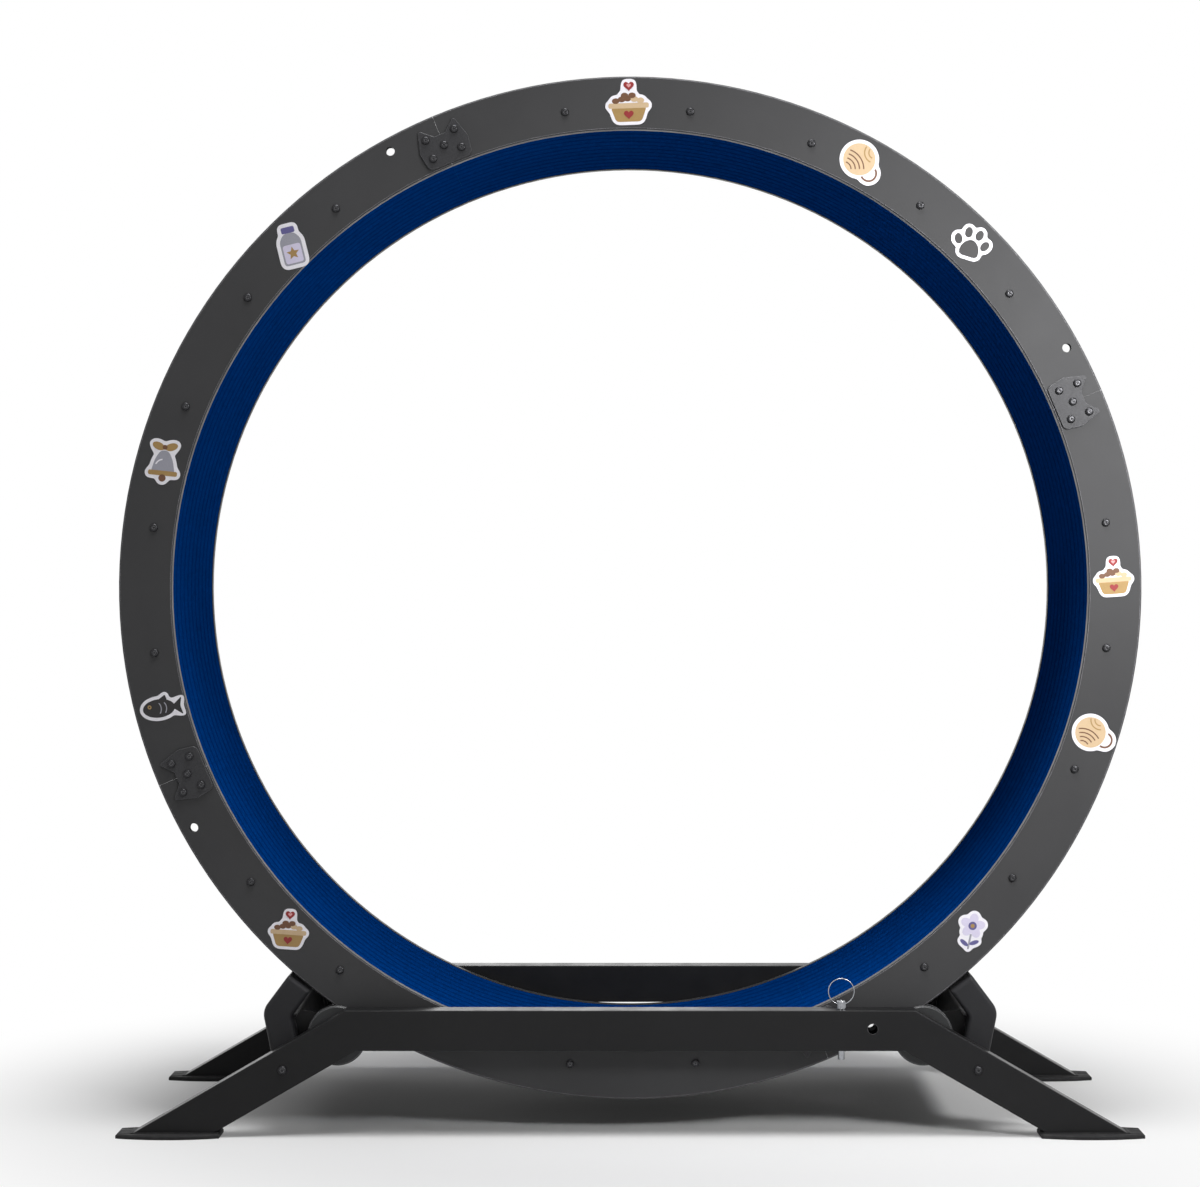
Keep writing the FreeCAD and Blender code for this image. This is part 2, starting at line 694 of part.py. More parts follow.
ROLLER_FACE = "({wheel_width} / 2 - {ring_thickness} / 2 - {roller_width} / 2)"  # away from the frame
ROLLER_FRONT = "({wheel_width} / 2 - {ring_thickness} / 2 + {roller_width} / 2)"
BRACKET_FACE = f"({ROLLER_FACE} - {{bracket_roller_gap}})"
BRACKET_BACK = f"({BRACKET_FACE} - {{bracket_thickness}})"
AXLE_RADIUS = "({bearing_bore} / 2 - {axle_play})"


def axle_bolts():
    """Hexagon bolts from the back of each bracket through its roller into the frame's weld nut."""
    body = new_body("axle_bolts")
    head = new_sketch(body, "head", "XZ_Plane", BRACKET_BACK)
    draw_hexagon(head, ROLLER_X, ROLLER_Z, "{axle_head_across_flats}")
    pad(body, head, "{axle_head_height}", reverse=True)
    shaft = new_sketch(body, "shaft", "XZ_Plane", BRACKET_BACK)
    draw_circle(shaft, ROLLER_X, ROLLER_Z, AXLE_RADIUS)
    pad(body, shaft, f"{FRAME_FACE} + {{frame_wall}} + {{axle_nut_height}} - {BRACKET_BACK}")
    copy_all(body, "YZ_Plane", "XZ_Plane")
    finish(body)


def axle_spacers():
    """Spacers on the axle bolts, between roller and frame and between roller and bracket."""
    body = new_body("axle_spacers")
    rooms = {"inner": (BRACKET_FACE, ROLLER_FACE), "outer": (ROLLER_FRONT, FRAME_FACE)}
    for name, (start, stop) in rooms.items():
        outline = new_sketch(body, name, "XZ_Plane", f"({start} + {{spacer_play}})")
        draw_circle(outline, ROLLER_X, ROLLER_Z, "{spacer_diameter} / 2")
        draw_circle(outline, ROLLER_X, ROLLER_Z, "{bearing_bore} / 2")
        pad(body, outline, f"{stop} - {start} - 2 * {{spacer_play}}")
    copy_all(body, "YZ_Plane", "XZ_Plane")
    finish(body)


# ---------------------------------------------------------------- the base


def frame_outline(height, leg_foot):
    """Corners of a side frame's bar and legs for a tube of this height, down to leg_foot."""
    top = f"({BAR_Z} + {height} / 2)"
    bottom = f"({BAR_Z} - {height} / 2)"
    mitre = f"({height} / 2 * tan({{leg_slope}} / 2))"
    slope = "tan({leg_slope})"
    return mirrored_outline(
        [
            (f"{ELBOW_X} + {mitre}", top),
            (f"{ELBOW_X} + {mitre} + ({top} - {leg_foot}) / {slope}", leg_foot),
            (f"{ELBOW_X} - {mitre} + ({bottom} - {leg_foot}) / {slope}", leg_foot),
            (f"{ELBOW_X} - {mitre}", bottom),
        ]
    )


def side_frame(end):
    """A welded box-section frame: bar, two legs, and a weld nut behind each axle hole. The front
    frame also has the lock hole and the hole in which the lock pin is kept."""
    body = new_body(f"{END_NAMES[end]}_frame")
    outside = new_sketch(body, "outside", "XZ_Plane")
    draw_outline(outside, frame_outline("{frame_height}", "{foot_thickness}"))
    bar = pad(body, outside, "{frame_depth}", middle=True)
    leg_foot = value("{foot_thickness}")
    faces = value("{frame_depth} / 2")

    def long_edge(edge):
        on_face = at_y(edge, faces) or at_y(edge, -faces)
        return on_face and edge.BoundBox.ZMax > leg_foot + NEAR

    dress(body, "Fillet", bar, long_edge, "{frame_rounding}")
    inside = new_sketch(body, "inside", "XZ_Plane")
    clear = "({frame_height} - 2 * {frame_wall})"
    draw_outline(inside, frame_outline(clear, "({foot_thickness} - {frame_wall})"))
    pocket(body, inside, "{frame_depth} - 2 * {frame_wall}", middle=True)

    inner_wall = f"{end} * ({{frame_depth}} / 2 - {{frame_wall}})"
    nuts = new_sketch(body, "weld_nuts", "XZ_Plane", inner_wall)
    axle_holes = new_sketch(body, "axle_holes", "XZ_Plane", f"{end} * {{frame_depth}} / 2")
    leg_holes = new_sketch(body, "leg_screw_holes", "XZ_Plane")
    for side in (LEFT, RIGHT):
        draw_circle(nuts, f"{side} * {ROLLER_X}", ROLLER_Z, "{axle_nut_diameter} / 2")
        draw_circle(axle_holes, f"{side} * {ROLLER_X}", ROLLER_Z, f"{AXLE_RADIUS} + {{thread_play}}")
        hole = "{leg_screw_diameter} / 2 + {hole_play}"
        draw_circle(leg_holes, f"{side} * {LEG_SCREW_X}", LEG_SCREW_Z, hole)
    pad(body, nuts, "{axle_nut_height}", reverse=end == REAR)
    pocket(body, axle_holes, "{frame_wall} + {axle_nut_height}", reverse=end == FRONT)
    pocket(body, leg_holes, "{frame_depth}", middle=True)
    if end == FRONT:
        lock = new_sketch(body, "lock_hole", "XZ_Plane")
        draw_circle(lock, LOCK_X, LOCK_Z, "{frame_lock_hole_diameter} / 2")
        pocket(body, lock, "{frame_depth}", middle=True)
        storage = new_sketch(body, "pin_hole", "XY_Plane", BAR_TOP)
        draw_circle(storage, "{pin_from_middle}", "0", "{pin_diameter} / 2 + {pin_hole_play}")
        pocket(body, storage, "{frame_height}")
    place(body, y=f"{end} * {FRAME_MIDDLE}")
    finish(body)


def foot(end, side):
    """A rubber foot under a leg, drawn for the right side: plate, grooves, collar and plug."""
    body = new_body(f"{END_NAMES[end]}_{SIDE_NAMES[side]}_foot")
    half_cut = "({frame_height} / 2 / sin({leg_slope}))"
    heel = f"-({half_cut} + {{foot_heel}})"
    toe = f"({half_cut} + {{foot_toe}})"
    half = "({foot_width} / 2)"
    plate = new_sketch(body, "plate", "XY_Plane")
    spots = [(toe, f"-{half}"), (toe, half), (heel, half), (heel, f"-{half}")]
    points = [FreeCAD.Vector(value(x), value(y), 0) for x, y in spots]
    for number, (start, stop) in enumerate(((0, 1), (1, 2), (2, 3), (3, 0))):
        if number % 2:
            out = 1 if points[start].y > 0 else -1
            middle = (points[start] + points[stop]) * 0.5
            middle.y += out * value("{foot_bulge}")
            arc = Part.Arc(points[start], middle, points[stop])
            plate.addGeometry(arc, False)
        else:
            plate.addGeometry(Part.LineSegment(points[start], points[stop]), False)
    join_foot_edges(plate, spots, f"({toe} - {heel})")
    blank = pad(body, plate, "{foot_thickness}")
    top = value("{foot_thickness}")
    dress(body, "Chamfer", blank, lambda edge: edge.BoundBox.ZMin > top - NEAR, "{foot_edge_chamfer}")

    grooves = new_sketch(body, "grooves", "XY_Plane", "{foot_thickness}")
    for line in (-1, 0, 1):
        low = f"({line} * {{foot_groove_pitch}} - {{foot_groove_width}} / 2)"
        high = f"({line} * {{foot_groove_pitch}} + {{foot_groove_width}} / 2)"
        draw_outline(grooves, [(heel, low), (toe, low), (toe, high), (heel, high)])
    pocket(body, grooves, "{foot_groove_depth}")

    wall = "{foot_collar_wall}"
    leg_half = "({frame_depth} / 2 + {foot_plug_play})"
    cut_half = f"({half_cut} + {{foot_plug_play}} / sin({{leg_slope}}))"
    collar = new_sketch(body, "collar", "XY_Plane", "{foot_thickness}")
    outer_x = f"({cut_half} + {wall} / sin({{leg_slope}}))"
    draw_box(collar, outer_x, f"({leg_half} + {wall})")
    draw_box(collar, cut_half, leg_half)
    slanted(pad(body, collar, "{foot_collar_height}"))

    plug = new_sketch(body, "plug", "XY_Plane", "{foot_thickness} - {foot_groove_depth}")
    shift = "({foot_groove_depth} / tan({leg_slope}))"
    bore_half = "(({frame_height} / 2 - {frame_wall} - {foot_plug_play}) / sin({leg_slope}))"
    bore_depth = "({frame_depth} / 2 - {frame_wall} - {foot_plug_play})"
    draw_box(plug, bore_half, bore_depth, shift)
    slanted(pad(body, plug, "{foot_plug_height}"))
    upwards = FreeCAD.Vector(0, 0, 1)
    angle = "0" if side == RIGHT else "180"
    place(body, f"{side} * {LEG_END_X}", f"{end} * {FRAME_MIDDLE}", "0", upwards, angle)
    finish(body)


def join_foot_edges(plate, spots, chord):
    """Ties the foot plate's two ends and two bulged sides together at its corners."""
    for at, (x, y) in enumerate(spots):
        if at % 2 == 0:
            pin_point(plate, at, 1, x, y)
            after = spots[(at + 1) % 4]
            pin_point(plate, at, 2, *after)
    ends = {1: (plate.Geometry[1], 0, 2), 3: (plate.Geometry[3], 2, 0)}
    for number, (arc, before, after) in ends.items():
        corner = plate.Geometry[before].EndPoint
        first = 1 if arc.StartPoint.distanceToPoint(corner) < NEAR else 2
        plate.addConstraint(Sketcher.Constraint("Coincident", before, 2, number, first))
        plate.addConstraint(Sketcher.Constraint("Coincident", after, 1, number, 3 - first))
        radius = f"({chord} * {chord} / 4 + {{foot_bulge}} * {{foot_bulge}}) / (2 * {{foot_bulge}})"
        dimension(plate, "Radius", (number,), radius)


def draw_box(sketch, half_x, half_y, shift="0"):
    """A rectangle about the sketch's origin, moved by shift along its first axis."""
    draw_outline(
        sketch,
        [
            (f"{shift} - {half_x}", f"-{half_y}"),
            (f"{shift} + {half_x}", f"-{half_y}"),
            (f"{shift} + {half_x}", half_y),
            (f"{shift} - {half_x}", half_y),
        ],
    )


def slanted(feature):
    """Makes a pad of a foot rise along its leg."""
    feature.UseCustomVector = True
    feature.AlongSketchNormal = True
    bind(feature, "Direction.x", "-cos({leg_slope})")
    bind(feature, "Direction.y", "0")
    bind(feature, "Direction.z", "sin({leg_slope})")
    document.recompute()


def guard_outline(inset="0"):
    """The guard beam's section. Its bend's inner corner is the origin and its lower leg is -Z."""
    turn = GUARD_TURN
    thick = "{guard_thickness}"
    arm = "{guard_arm_length}"
    return [
        (f"{thick} - {inset}", f"-{{guard_leg_length}} + {inset}"),
        (f"{thick} - {inset}", f"({thick} - {inset}) * tan({turn} / 2)"),
        (
            f"{thick} - ({arm} - {inset}) * sin({turn}) - {inset} * cos({turn})",
            f"{BEND_RISE} + ({arm} - {inset}) * cos({turn}) - {inset} * sin({turn})",
        ),
        (
            f"{thick} - ({arm} - {inset}) * sin({turn}) - ({thick} - {inset}) * cos({turn})",
            f"{BEND_RISE} + ({arm} - {inset}) * cos({turn}) - ({thick} - {inset}) * sin({turn})",
        ),
        (inset, f"{inset} * tan({turn} / 2)"),
        (inset, f"-{{guard_leg_length}} + {inset}"),
    ]


def place_at_guard(body, side):
    """Puts a body that is drawn for the right guard, about its bend, on either side."""
    place(body, f"{side} * {BEND_X}", "0", BEND_Z, FreeCAD.Vector(0, 1, 0), f"{side} * {{guard_leg_tilt}}")


def sideways(corners, side):
    """The corners for the right side, or their mirror image for the left."""
    return [(f"{side} * ({x})", y) for x, y in corners]


def guard(side):
    """A moulded guard beam between the frames, hollow, with thick ends for the leg screws."""
    body = new_body(f"{SIDE_NAMES[side]}_guard")
    length = f"(2 * {FRAME_FACE})"
    outside = new_sketch(body, "outside", "XZ_Plane")
    draw_outline(outside, sideways(guard_outline(), side))
    beam = pad(body, outside, length, middle=True)
    bend_x = value("{guard_thickness}")
    bend_z = value(BEND_RISE)

    def outer_bend(edge):
        box = edge.BoundBox
        return along_y(edge) and abs(side * box.XMin - bend_x) < NEAR and abs(box.ZMin - bend_z) < NEAR

    def inner_bend(edge):
        box = edge.BoundBox
        return along_y(edge) and abs(box.XMin) < NEAR and abs(box.ZMin) < NEAR

    bent = dress(body, "Fillet", beam, outer_bend, "{guard_bend_rounding}")
    bent = dress(body, "Fillet", bent, inner_bend, "{guard_inner_rounding}")
    upper = dress(
        body,
        "Fillet",
        bent,
        lambda edge: along_y(edge) and edge.BoundBox.ZMin > value(BEND_RISE),
        "{guard_rim_rounding}",
    )
    end = value(FRAME_FACE)
    low = value("-{guard_leg_length}")
    dress(
        body,
        "Fillet",
        upper,
        lambda edge: (at_y(edge, end) or at_y(edge, -end)) and edge.BoundBox.ZMax > low + NEAR,
        "{guard_edge_rounding}",
    )
    inside = new_sketch(body, "inside", "XZ_Plane")
    draw_outline(inside, sideways(guard_outline("{guard_wall}"), side))
    pocket(body, inside, f"{length} - 2 * {{guard_end_wall}}", middle=True)

    screw_x = (
        f"(({LEG_SCREW_X} - {BEND_X}) * cos({{guard_leg_tilt}})"
        f" - ({LEG_SCREW_Z} - {BEND_Z}) * sin({{guard_leg_tilt}}))"
    )
    screw_z = (
        f"(({LEG_SCREW_X} - {BEND_X}) * sin({{guard_leg_tilt}})"
        f" + ({LEG_SCREW_Z} - {BEND_Z}) * cos({{guard_leg_tilt}}))"
    )
    for end_side in (FRONT, REAR):
        thread = new_sketch(
            body, f"thread_{END_NAMES[end_side]}", "XZ_Plane", f"-({end_side} * {FRAME_FACE})"
        )
        radius = "{leg_screw_diameter} / 2 + {thread_play}"
        draw_circle(thread, f"{side} * {screw_x}", screw_z, radius)
        pocket(body, thread, "{leg_screw_grip} + {thread_runout}", reverse=end_side == REAR)

    for end_side in (FRONT, REAR):
        hole = new_sketch(body, f"bracket_thread_{END_NAMES[end_side]}", "YZ_Plane")
        y = f"{end_side} * ({BRACKET_FACE} - {{bracket_flange_width}} / 2)"
        draw_circle(hole, y, "-{bracket_screw_drop}", "{screw_diameter} / 2 + {thread_play}")
        depth = "{bracket_screw_grip} + {thread_runout}"
        pocket(body, hole, depth, reverse=side == RIGHT)
    place_at_guard(body, side)
    finish(body)


def bracket(end, side):
    """A roller bracket: an upright plate behind the roller and a flange on the guard's inside."""
    body = new_body(f"{END_NAMES[end]}_{SIDE_NAMES[side]}_roller_bracket")
    thick = "{bracket_thickness}"
    axle_x = (
        f"(({ROLLER_X} - {BEND_X}) * cos({{guard_leg_tilt}})"
        f" - ({ROLLER_Z} - {BEND_Z}) * sin({{guard_leg_tilt}}))"
    )
    axle_z = (
        f"(({ROLLER_X} - {BEND_X}) * sin({{guard_leg_tilt}})"
        f" + ({ROLLER_Z} - {BEND_Z}) * cos({{guard_leg_tilt}}))"
    )
    top = f"({axle_z} + {{bracket_above_axle}})"
    bottom = f"-{{bracket_flange_drop}}"
    nose = f"({axle_x} - {{bracket_past_axle}})"
    corner = "{bracket_corner}"
    top_limit = "-{bracket_top_drop}"
    plate = new_sketch(body, "plate", "XZ_Plane", f"-({end} * {BRACKET_FACE})")
    outline = [
        ("0", bottom),
        ("0", top_limit),
        (f"-{corner}", f"{top_limit} + {corner}"),
        (f"{axle_x} + {corner}", top),
        (f"{nose} + {corner}", top),
        (nose, f"{top} - {corner}"),
        (nose, f"{axle_z} - {{bracket_below_axle}} + {corner}"),
        (f"{nose} + {corner}", f"{axle_z} - {{bracket_below_axle}}"),
        (f"{axle_x} + {corner}", f"{axle_z} - {{bracket_below_axle}}"),
    ]
    draw_outline(plate, sideways(outline, side))
    pad(body, plate, thick, reverse=end == FRONT)
    flange = new_sketch(body, "flange", "XZ_Plane", f"-({end} * {BRACKET_FACE})")
    strip = [("0", bottom), ("0", top_limit), (f"-{thick}", top_limit), (f"-{thick}", bottom)]
    draw_outline(flange, sideways(strip, side))
    pad(body, flange, "{bracket_flange_width}", reverse=end == FRONT)
    axle = new_sketch(body, "axle_hole", "XZ_Plane")
    draw_circle(axle, f"{side} * {axle_x}", axle_z, f"{AXLE_RADIUS} + {{hole_play}}")
    pocket(body, axle, "2 * {wheel_width}", middle=True)
    hole = new_sketch(body, "screw_hole", "YZ_Plane")
    y = f"{end} * ({BRACKET_FACE} - {{bracket_flange_width}} / 2)"
    draw_circle(hole, y, "-{bracket_screw_drop}", "{screw_diameter} / 2 + {hole_play}")
    pocket(body, hole, "4 * {bracket_thickness}", middle=True)
    place_at_guard(body, side)
    finish(body)


def leg_screws():
    """The screws through the legs into the guards' ends."""
    body = new_body("leg_screws")
    section = upright(body, "screw", LEG_SCREW_X, LEG_SCREW_Z)
    seat = f"-({FRAME_FACE} + {{frame_depth}})"
    screw(body, section, seat, "({frame_depth} + {leg_screw_grip})", LEG_SCREW)
    copy_all(body, "YZ_Plane", "XZ_Plane")
    finish(body)


def bracket_screws():
    """One screw through each bracket's flange into the guard, square to the guard's lower leg."""
    body = new_body("bracket_screws")
    middle = f"({BRACKET_FACE} - {{bracket_flange_width}} / 2)"
    section = new_sketch(body, "screw", "XZ_Plane", middle)
    bind(section, "AttachmentOffset.Base.x", f"{BEND_X} - {{bracket_screw_drop}} * sin({{guard_leg_tilt}})")
    bind(section, "AttachmentOffset.Base.y", f"{BEND_Z} - {{bracket_screw_drop}} * cos({{guard_leg_tilt}})")
    bind(section, "AttachmentOffset.Rotation.Angle", "-(90 + {guard_leg_tilt})")
    document.recompute()
    length = "({bracket_thickness} + {bracket_screw_grip})"
    screw(body, section, "-{bracket_thickness}", length, SMALL_SCREW)
    copy_all(body, "YZ_Plane", "XZ_Plane")
    finish(body)


# ---------------------------------------------------------------- the lock pin


def lock_pin():
    """The lock pin, kept upright in the front bar, with a cross hole in its head for the ring."""
    body = new_body("lock_pin")
    section = new_sketch(body, "section", "XZ_Plane")
    shank = "({pin_diameter} / 2)"
    head = "({pin_head_diameter} / 2)"
    tip = "-({frame_height} + {pin_below_bar})"
    rounding = "{pin_head_rounding}"
    draw_outline(
        section,
        [
            ("0", tip),
            (f"{shank} - {{pin_tip_chamfer}}", tip),
            (shank, f"{tip} + {{pin_tip_chamfer}}"),
            (shank, "0"),
            (head, "0"),
            (head, f"{{pin_head_height}} - {rounding}"),
            (f"{head} - {rounding}", "{pin_head_height}"),
            ("0", "{pin_head_height}"),
        ],
    )
    revolve(body, section)
    eye = new_sketch(body, "eye", "YZ_Plane")
    draw_circle(eye, "0", "{pin_eye_height}", "{pin_eye_diameter} / 2")
    pocket(body, eye, "2 * {pin_head_diameter}", middle=True)
    place(body, "{pin_from_middle}", f"-{FRAME_MIDDLE}", BAR_TOP)
    finish(body)


def lock_ring():
    """The pin's wire ring, standing up through the head's cross hole."""
    ring = document.addObject("Part::Torus", "lock_ring")
    ring.Label = "lock_ring"
    bind(ring, "Radius1", "{lock_ring_diameter} / 2")
    bind(ring, "Radius2", "{lock_ring_wire} / 2")
    place(
        ring,
        "{pin_from_middle}",
        f"-{FRAME_MIDDLE}",
        f"{BAR_TOP} + {{pin_eye_height}} + {{lock_ring_diameter}} / 2",
        FreeCAD.Vector(1, 0, 0),
        "90",
    )
    finish(ring)


def base():
    for end in (FRONT, REAR):
        side_frame(end)
        for side in (LEFT, RIGHT):
            foot(end, side)
            roller(end, side)
            roller_bearings(end, side)
            bracket(end, side)
    for side in (LEFT, RIGHT):
        guard(side)
    axle_bolts()
    axle_spacers()
    leg_screws()
    bracket_screws()


def check():
    """Stops on any object that failed to compute and on any piece that isn't sound."""
    document.recompute()
    for item in document.Objects:
        if "Invalid" in item.State or "Error" in item.State:
            raise RuntimeError(f"{item.Label} failed: {item.State}")
    for piece in pieces:
        if piece.Shape.isNull() or not piece.Shape.isValid() or not piece.Shape.Solids:
            raise RuntimeError(f"{piece.Label} has no sound shape")


def write():
    os.makedirs("parts", exist_ok=True)
    for piece in pieces:
        piece.Shape.exportStep(f"parts/{piece.Label}.step")


wheel()
base()
lock_pin()
lock_ring()
check()
write()
print(f"{len(pieces)} pieces written")
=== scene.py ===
"""Cat exercise wheel: materials, ribbed carpet, stickers, lock pin, light and camera round the frame.

Metres, +Z up, the front is -Y. Angles round the wheel run anticlockwise from +X, seen from the front.
"""

import json
import math

import bmesh
import bpy
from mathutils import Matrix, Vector


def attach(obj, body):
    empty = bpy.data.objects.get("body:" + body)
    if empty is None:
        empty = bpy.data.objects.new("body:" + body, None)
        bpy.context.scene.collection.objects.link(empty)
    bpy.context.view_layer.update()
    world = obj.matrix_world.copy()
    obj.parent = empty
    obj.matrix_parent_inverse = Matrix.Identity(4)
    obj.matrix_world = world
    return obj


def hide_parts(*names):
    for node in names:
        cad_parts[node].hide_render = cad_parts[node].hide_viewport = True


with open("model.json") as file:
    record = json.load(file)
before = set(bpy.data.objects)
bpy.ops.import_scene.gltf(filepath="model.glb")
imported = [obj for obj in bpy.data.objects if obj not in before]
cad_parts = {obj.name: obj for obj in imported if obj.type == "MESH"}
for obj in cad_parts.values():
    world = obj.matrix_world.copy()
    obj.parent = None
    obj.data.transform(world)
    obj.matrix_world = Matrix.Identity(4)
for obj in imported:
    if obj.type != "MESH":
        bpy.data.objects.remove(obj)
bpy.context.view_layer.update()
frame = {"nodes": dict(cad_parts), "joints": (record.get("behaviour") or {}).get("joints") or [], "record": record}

# ---------------------------------------------------------------- sizes and places

MM = 0.001

PLACES = {joint["name"]: joint.get("pos_m") for joint in frame["joints"]}
WHEEL_Z = PLACES["wheel_spin"][2]
ROLLER_X = PLACES["front_right_roller_spin"][0]
ROLLER_Z = PLACES["front_right_roller_spin"][2]
PIN_X, PIN_Y, EYE_Z = PLACES["lock_ring_swing"]

# Side rings: the front ring's outward face, its radii, and the joints between its segments.
RING_FRONT = -0.175
RING_OUTER = 0.600
RING_INNER = RING_OUTER - 62 * MM
SEGMENTS = 4
JOINT_GAP = math.degrees(0.1 * MM / RING_OUTER)

# At rest one of the rings' lock holes stands behind the front bar's. Each joint between segments is
# LOCK_LEAD degrees clockwise of a lock hole.
LOCK_Z = 0.125898
LOCK_RADIUS = 0.5844
LOCK_LEAD = 6
LOCK_ANGLE = -math.degrees(math.asin((WHEEL_Z - LOCK_Z) / LOCK_RADIUS))
FIRST_JOINT = LOCK_ANGLE - LOCK_LEAD + 360 / SEGMENTS

# Carpet: the radii of its crests and its back, and its ribs.
CARPET_HALF = 0.163
CARPET_CREST = RING_INNER + 0.5 * MM
CARPET_BACK = CARPET_CREST + 4 * MM
CARPET_LAID = 0.54  # radius at which its surface is laid flat
CARPET_STEPS = 72  # round each quarter
RIB_COUNT = 44
RIB_PITCH = 2 * CARPET_HALF / RIB_COUNT
GROOVE_EVERY = 4  # each such groove is a deep one
DEEP_GROOVE = 1.9 * MM
SHALLOW_GROOVE = 1.0 * MM
SIDE_DROP = 1.5 * MM  # of the carpet's long edges below its crests
CROWN_DROP = 0.05 * MM
CROWN_START = 0.36  # of the pitch
SHOULDER_START = 0.16  # of the pitch
SHOULDER_DROP = 0.35  # of the groove's depth
BACK_BEVEL = 0.4 * MM

# Lock pin, in mm, with heights over the bar's top.
PIN_RADIUS = 4.0
PIN_TIP = -59
HEAD_RADIUS = 5.5
COLLAR_RADIUS = 5.3
KNURL_LOW = 1.1
KNURL_HIGH = 8.1
KNURL_DEPTH = 0.42
KNURL_RIBS = 24
HEAD_TOP = 9.5
DISH_RADIUS = 3.2
EYE_HEIGHT = 5.2
EYE_RADIUS = 1.8
DRILL_LENGTH = 14
PIN_STEPS = 144
BAR_TOP = EYE_Z - EYE_HEIGHT * MM

# Stickers: thicknesses of vinyl and ink, and the white edge that is cut round each motif, in mm.
VINYL = 0.3 * MM
INK = 0.03 * MM
CUT_MARGIN = 4.2
CUT_LEAST = 4.0  # from the sticker's middle
CUT_POINTS = 120
CUT_SMOOTHINGS = 4

# ---------------------------------------------------------------- camera

CAMERA_Y = -3.612
CAMERA_Z = 0.650
LENS = 87.9
SENSOR_WIDTH = 36
SHIFT_X = -0.0252
SHIFT_Y = -0.0133


def add_camera():
    data = bpy.data.cameras.new("camera")
    data.sensor_fit = "HORIZONTAL"
    data.sensor_width = SENSOR_WIDTH
    data.lens = LENS
    data.shift_x = SHIFT_X
    data.shift_y = SHIFT_Y
    data.clip_end = 100
    camera = bpy.data.objects.new("camera", data)
    camera.location = (0, CAMERA_Y, CAMERA_Z)
    camera.rotation_euler = (math.radians(90), 0, 0)
    bpy.context.scene.collection.objects.link(camera)
    bpy.context.scene.camera = camera


# ---------------------------------------------------------------- node helpers


def srgb(red, green, blue):
    """A colour from its 0 to 255 values, made linear."""

    def linear(level):
        level /= 255
        return level / 12.92 if level <= 0.04045 else ((level + 0.055) / 1.055) ** 2.4

    return (linear(red), linear(green), linear(blue), 1)


def shade(color, share):
    return tuple(channel * share for channel in color[:3]) + (1,)


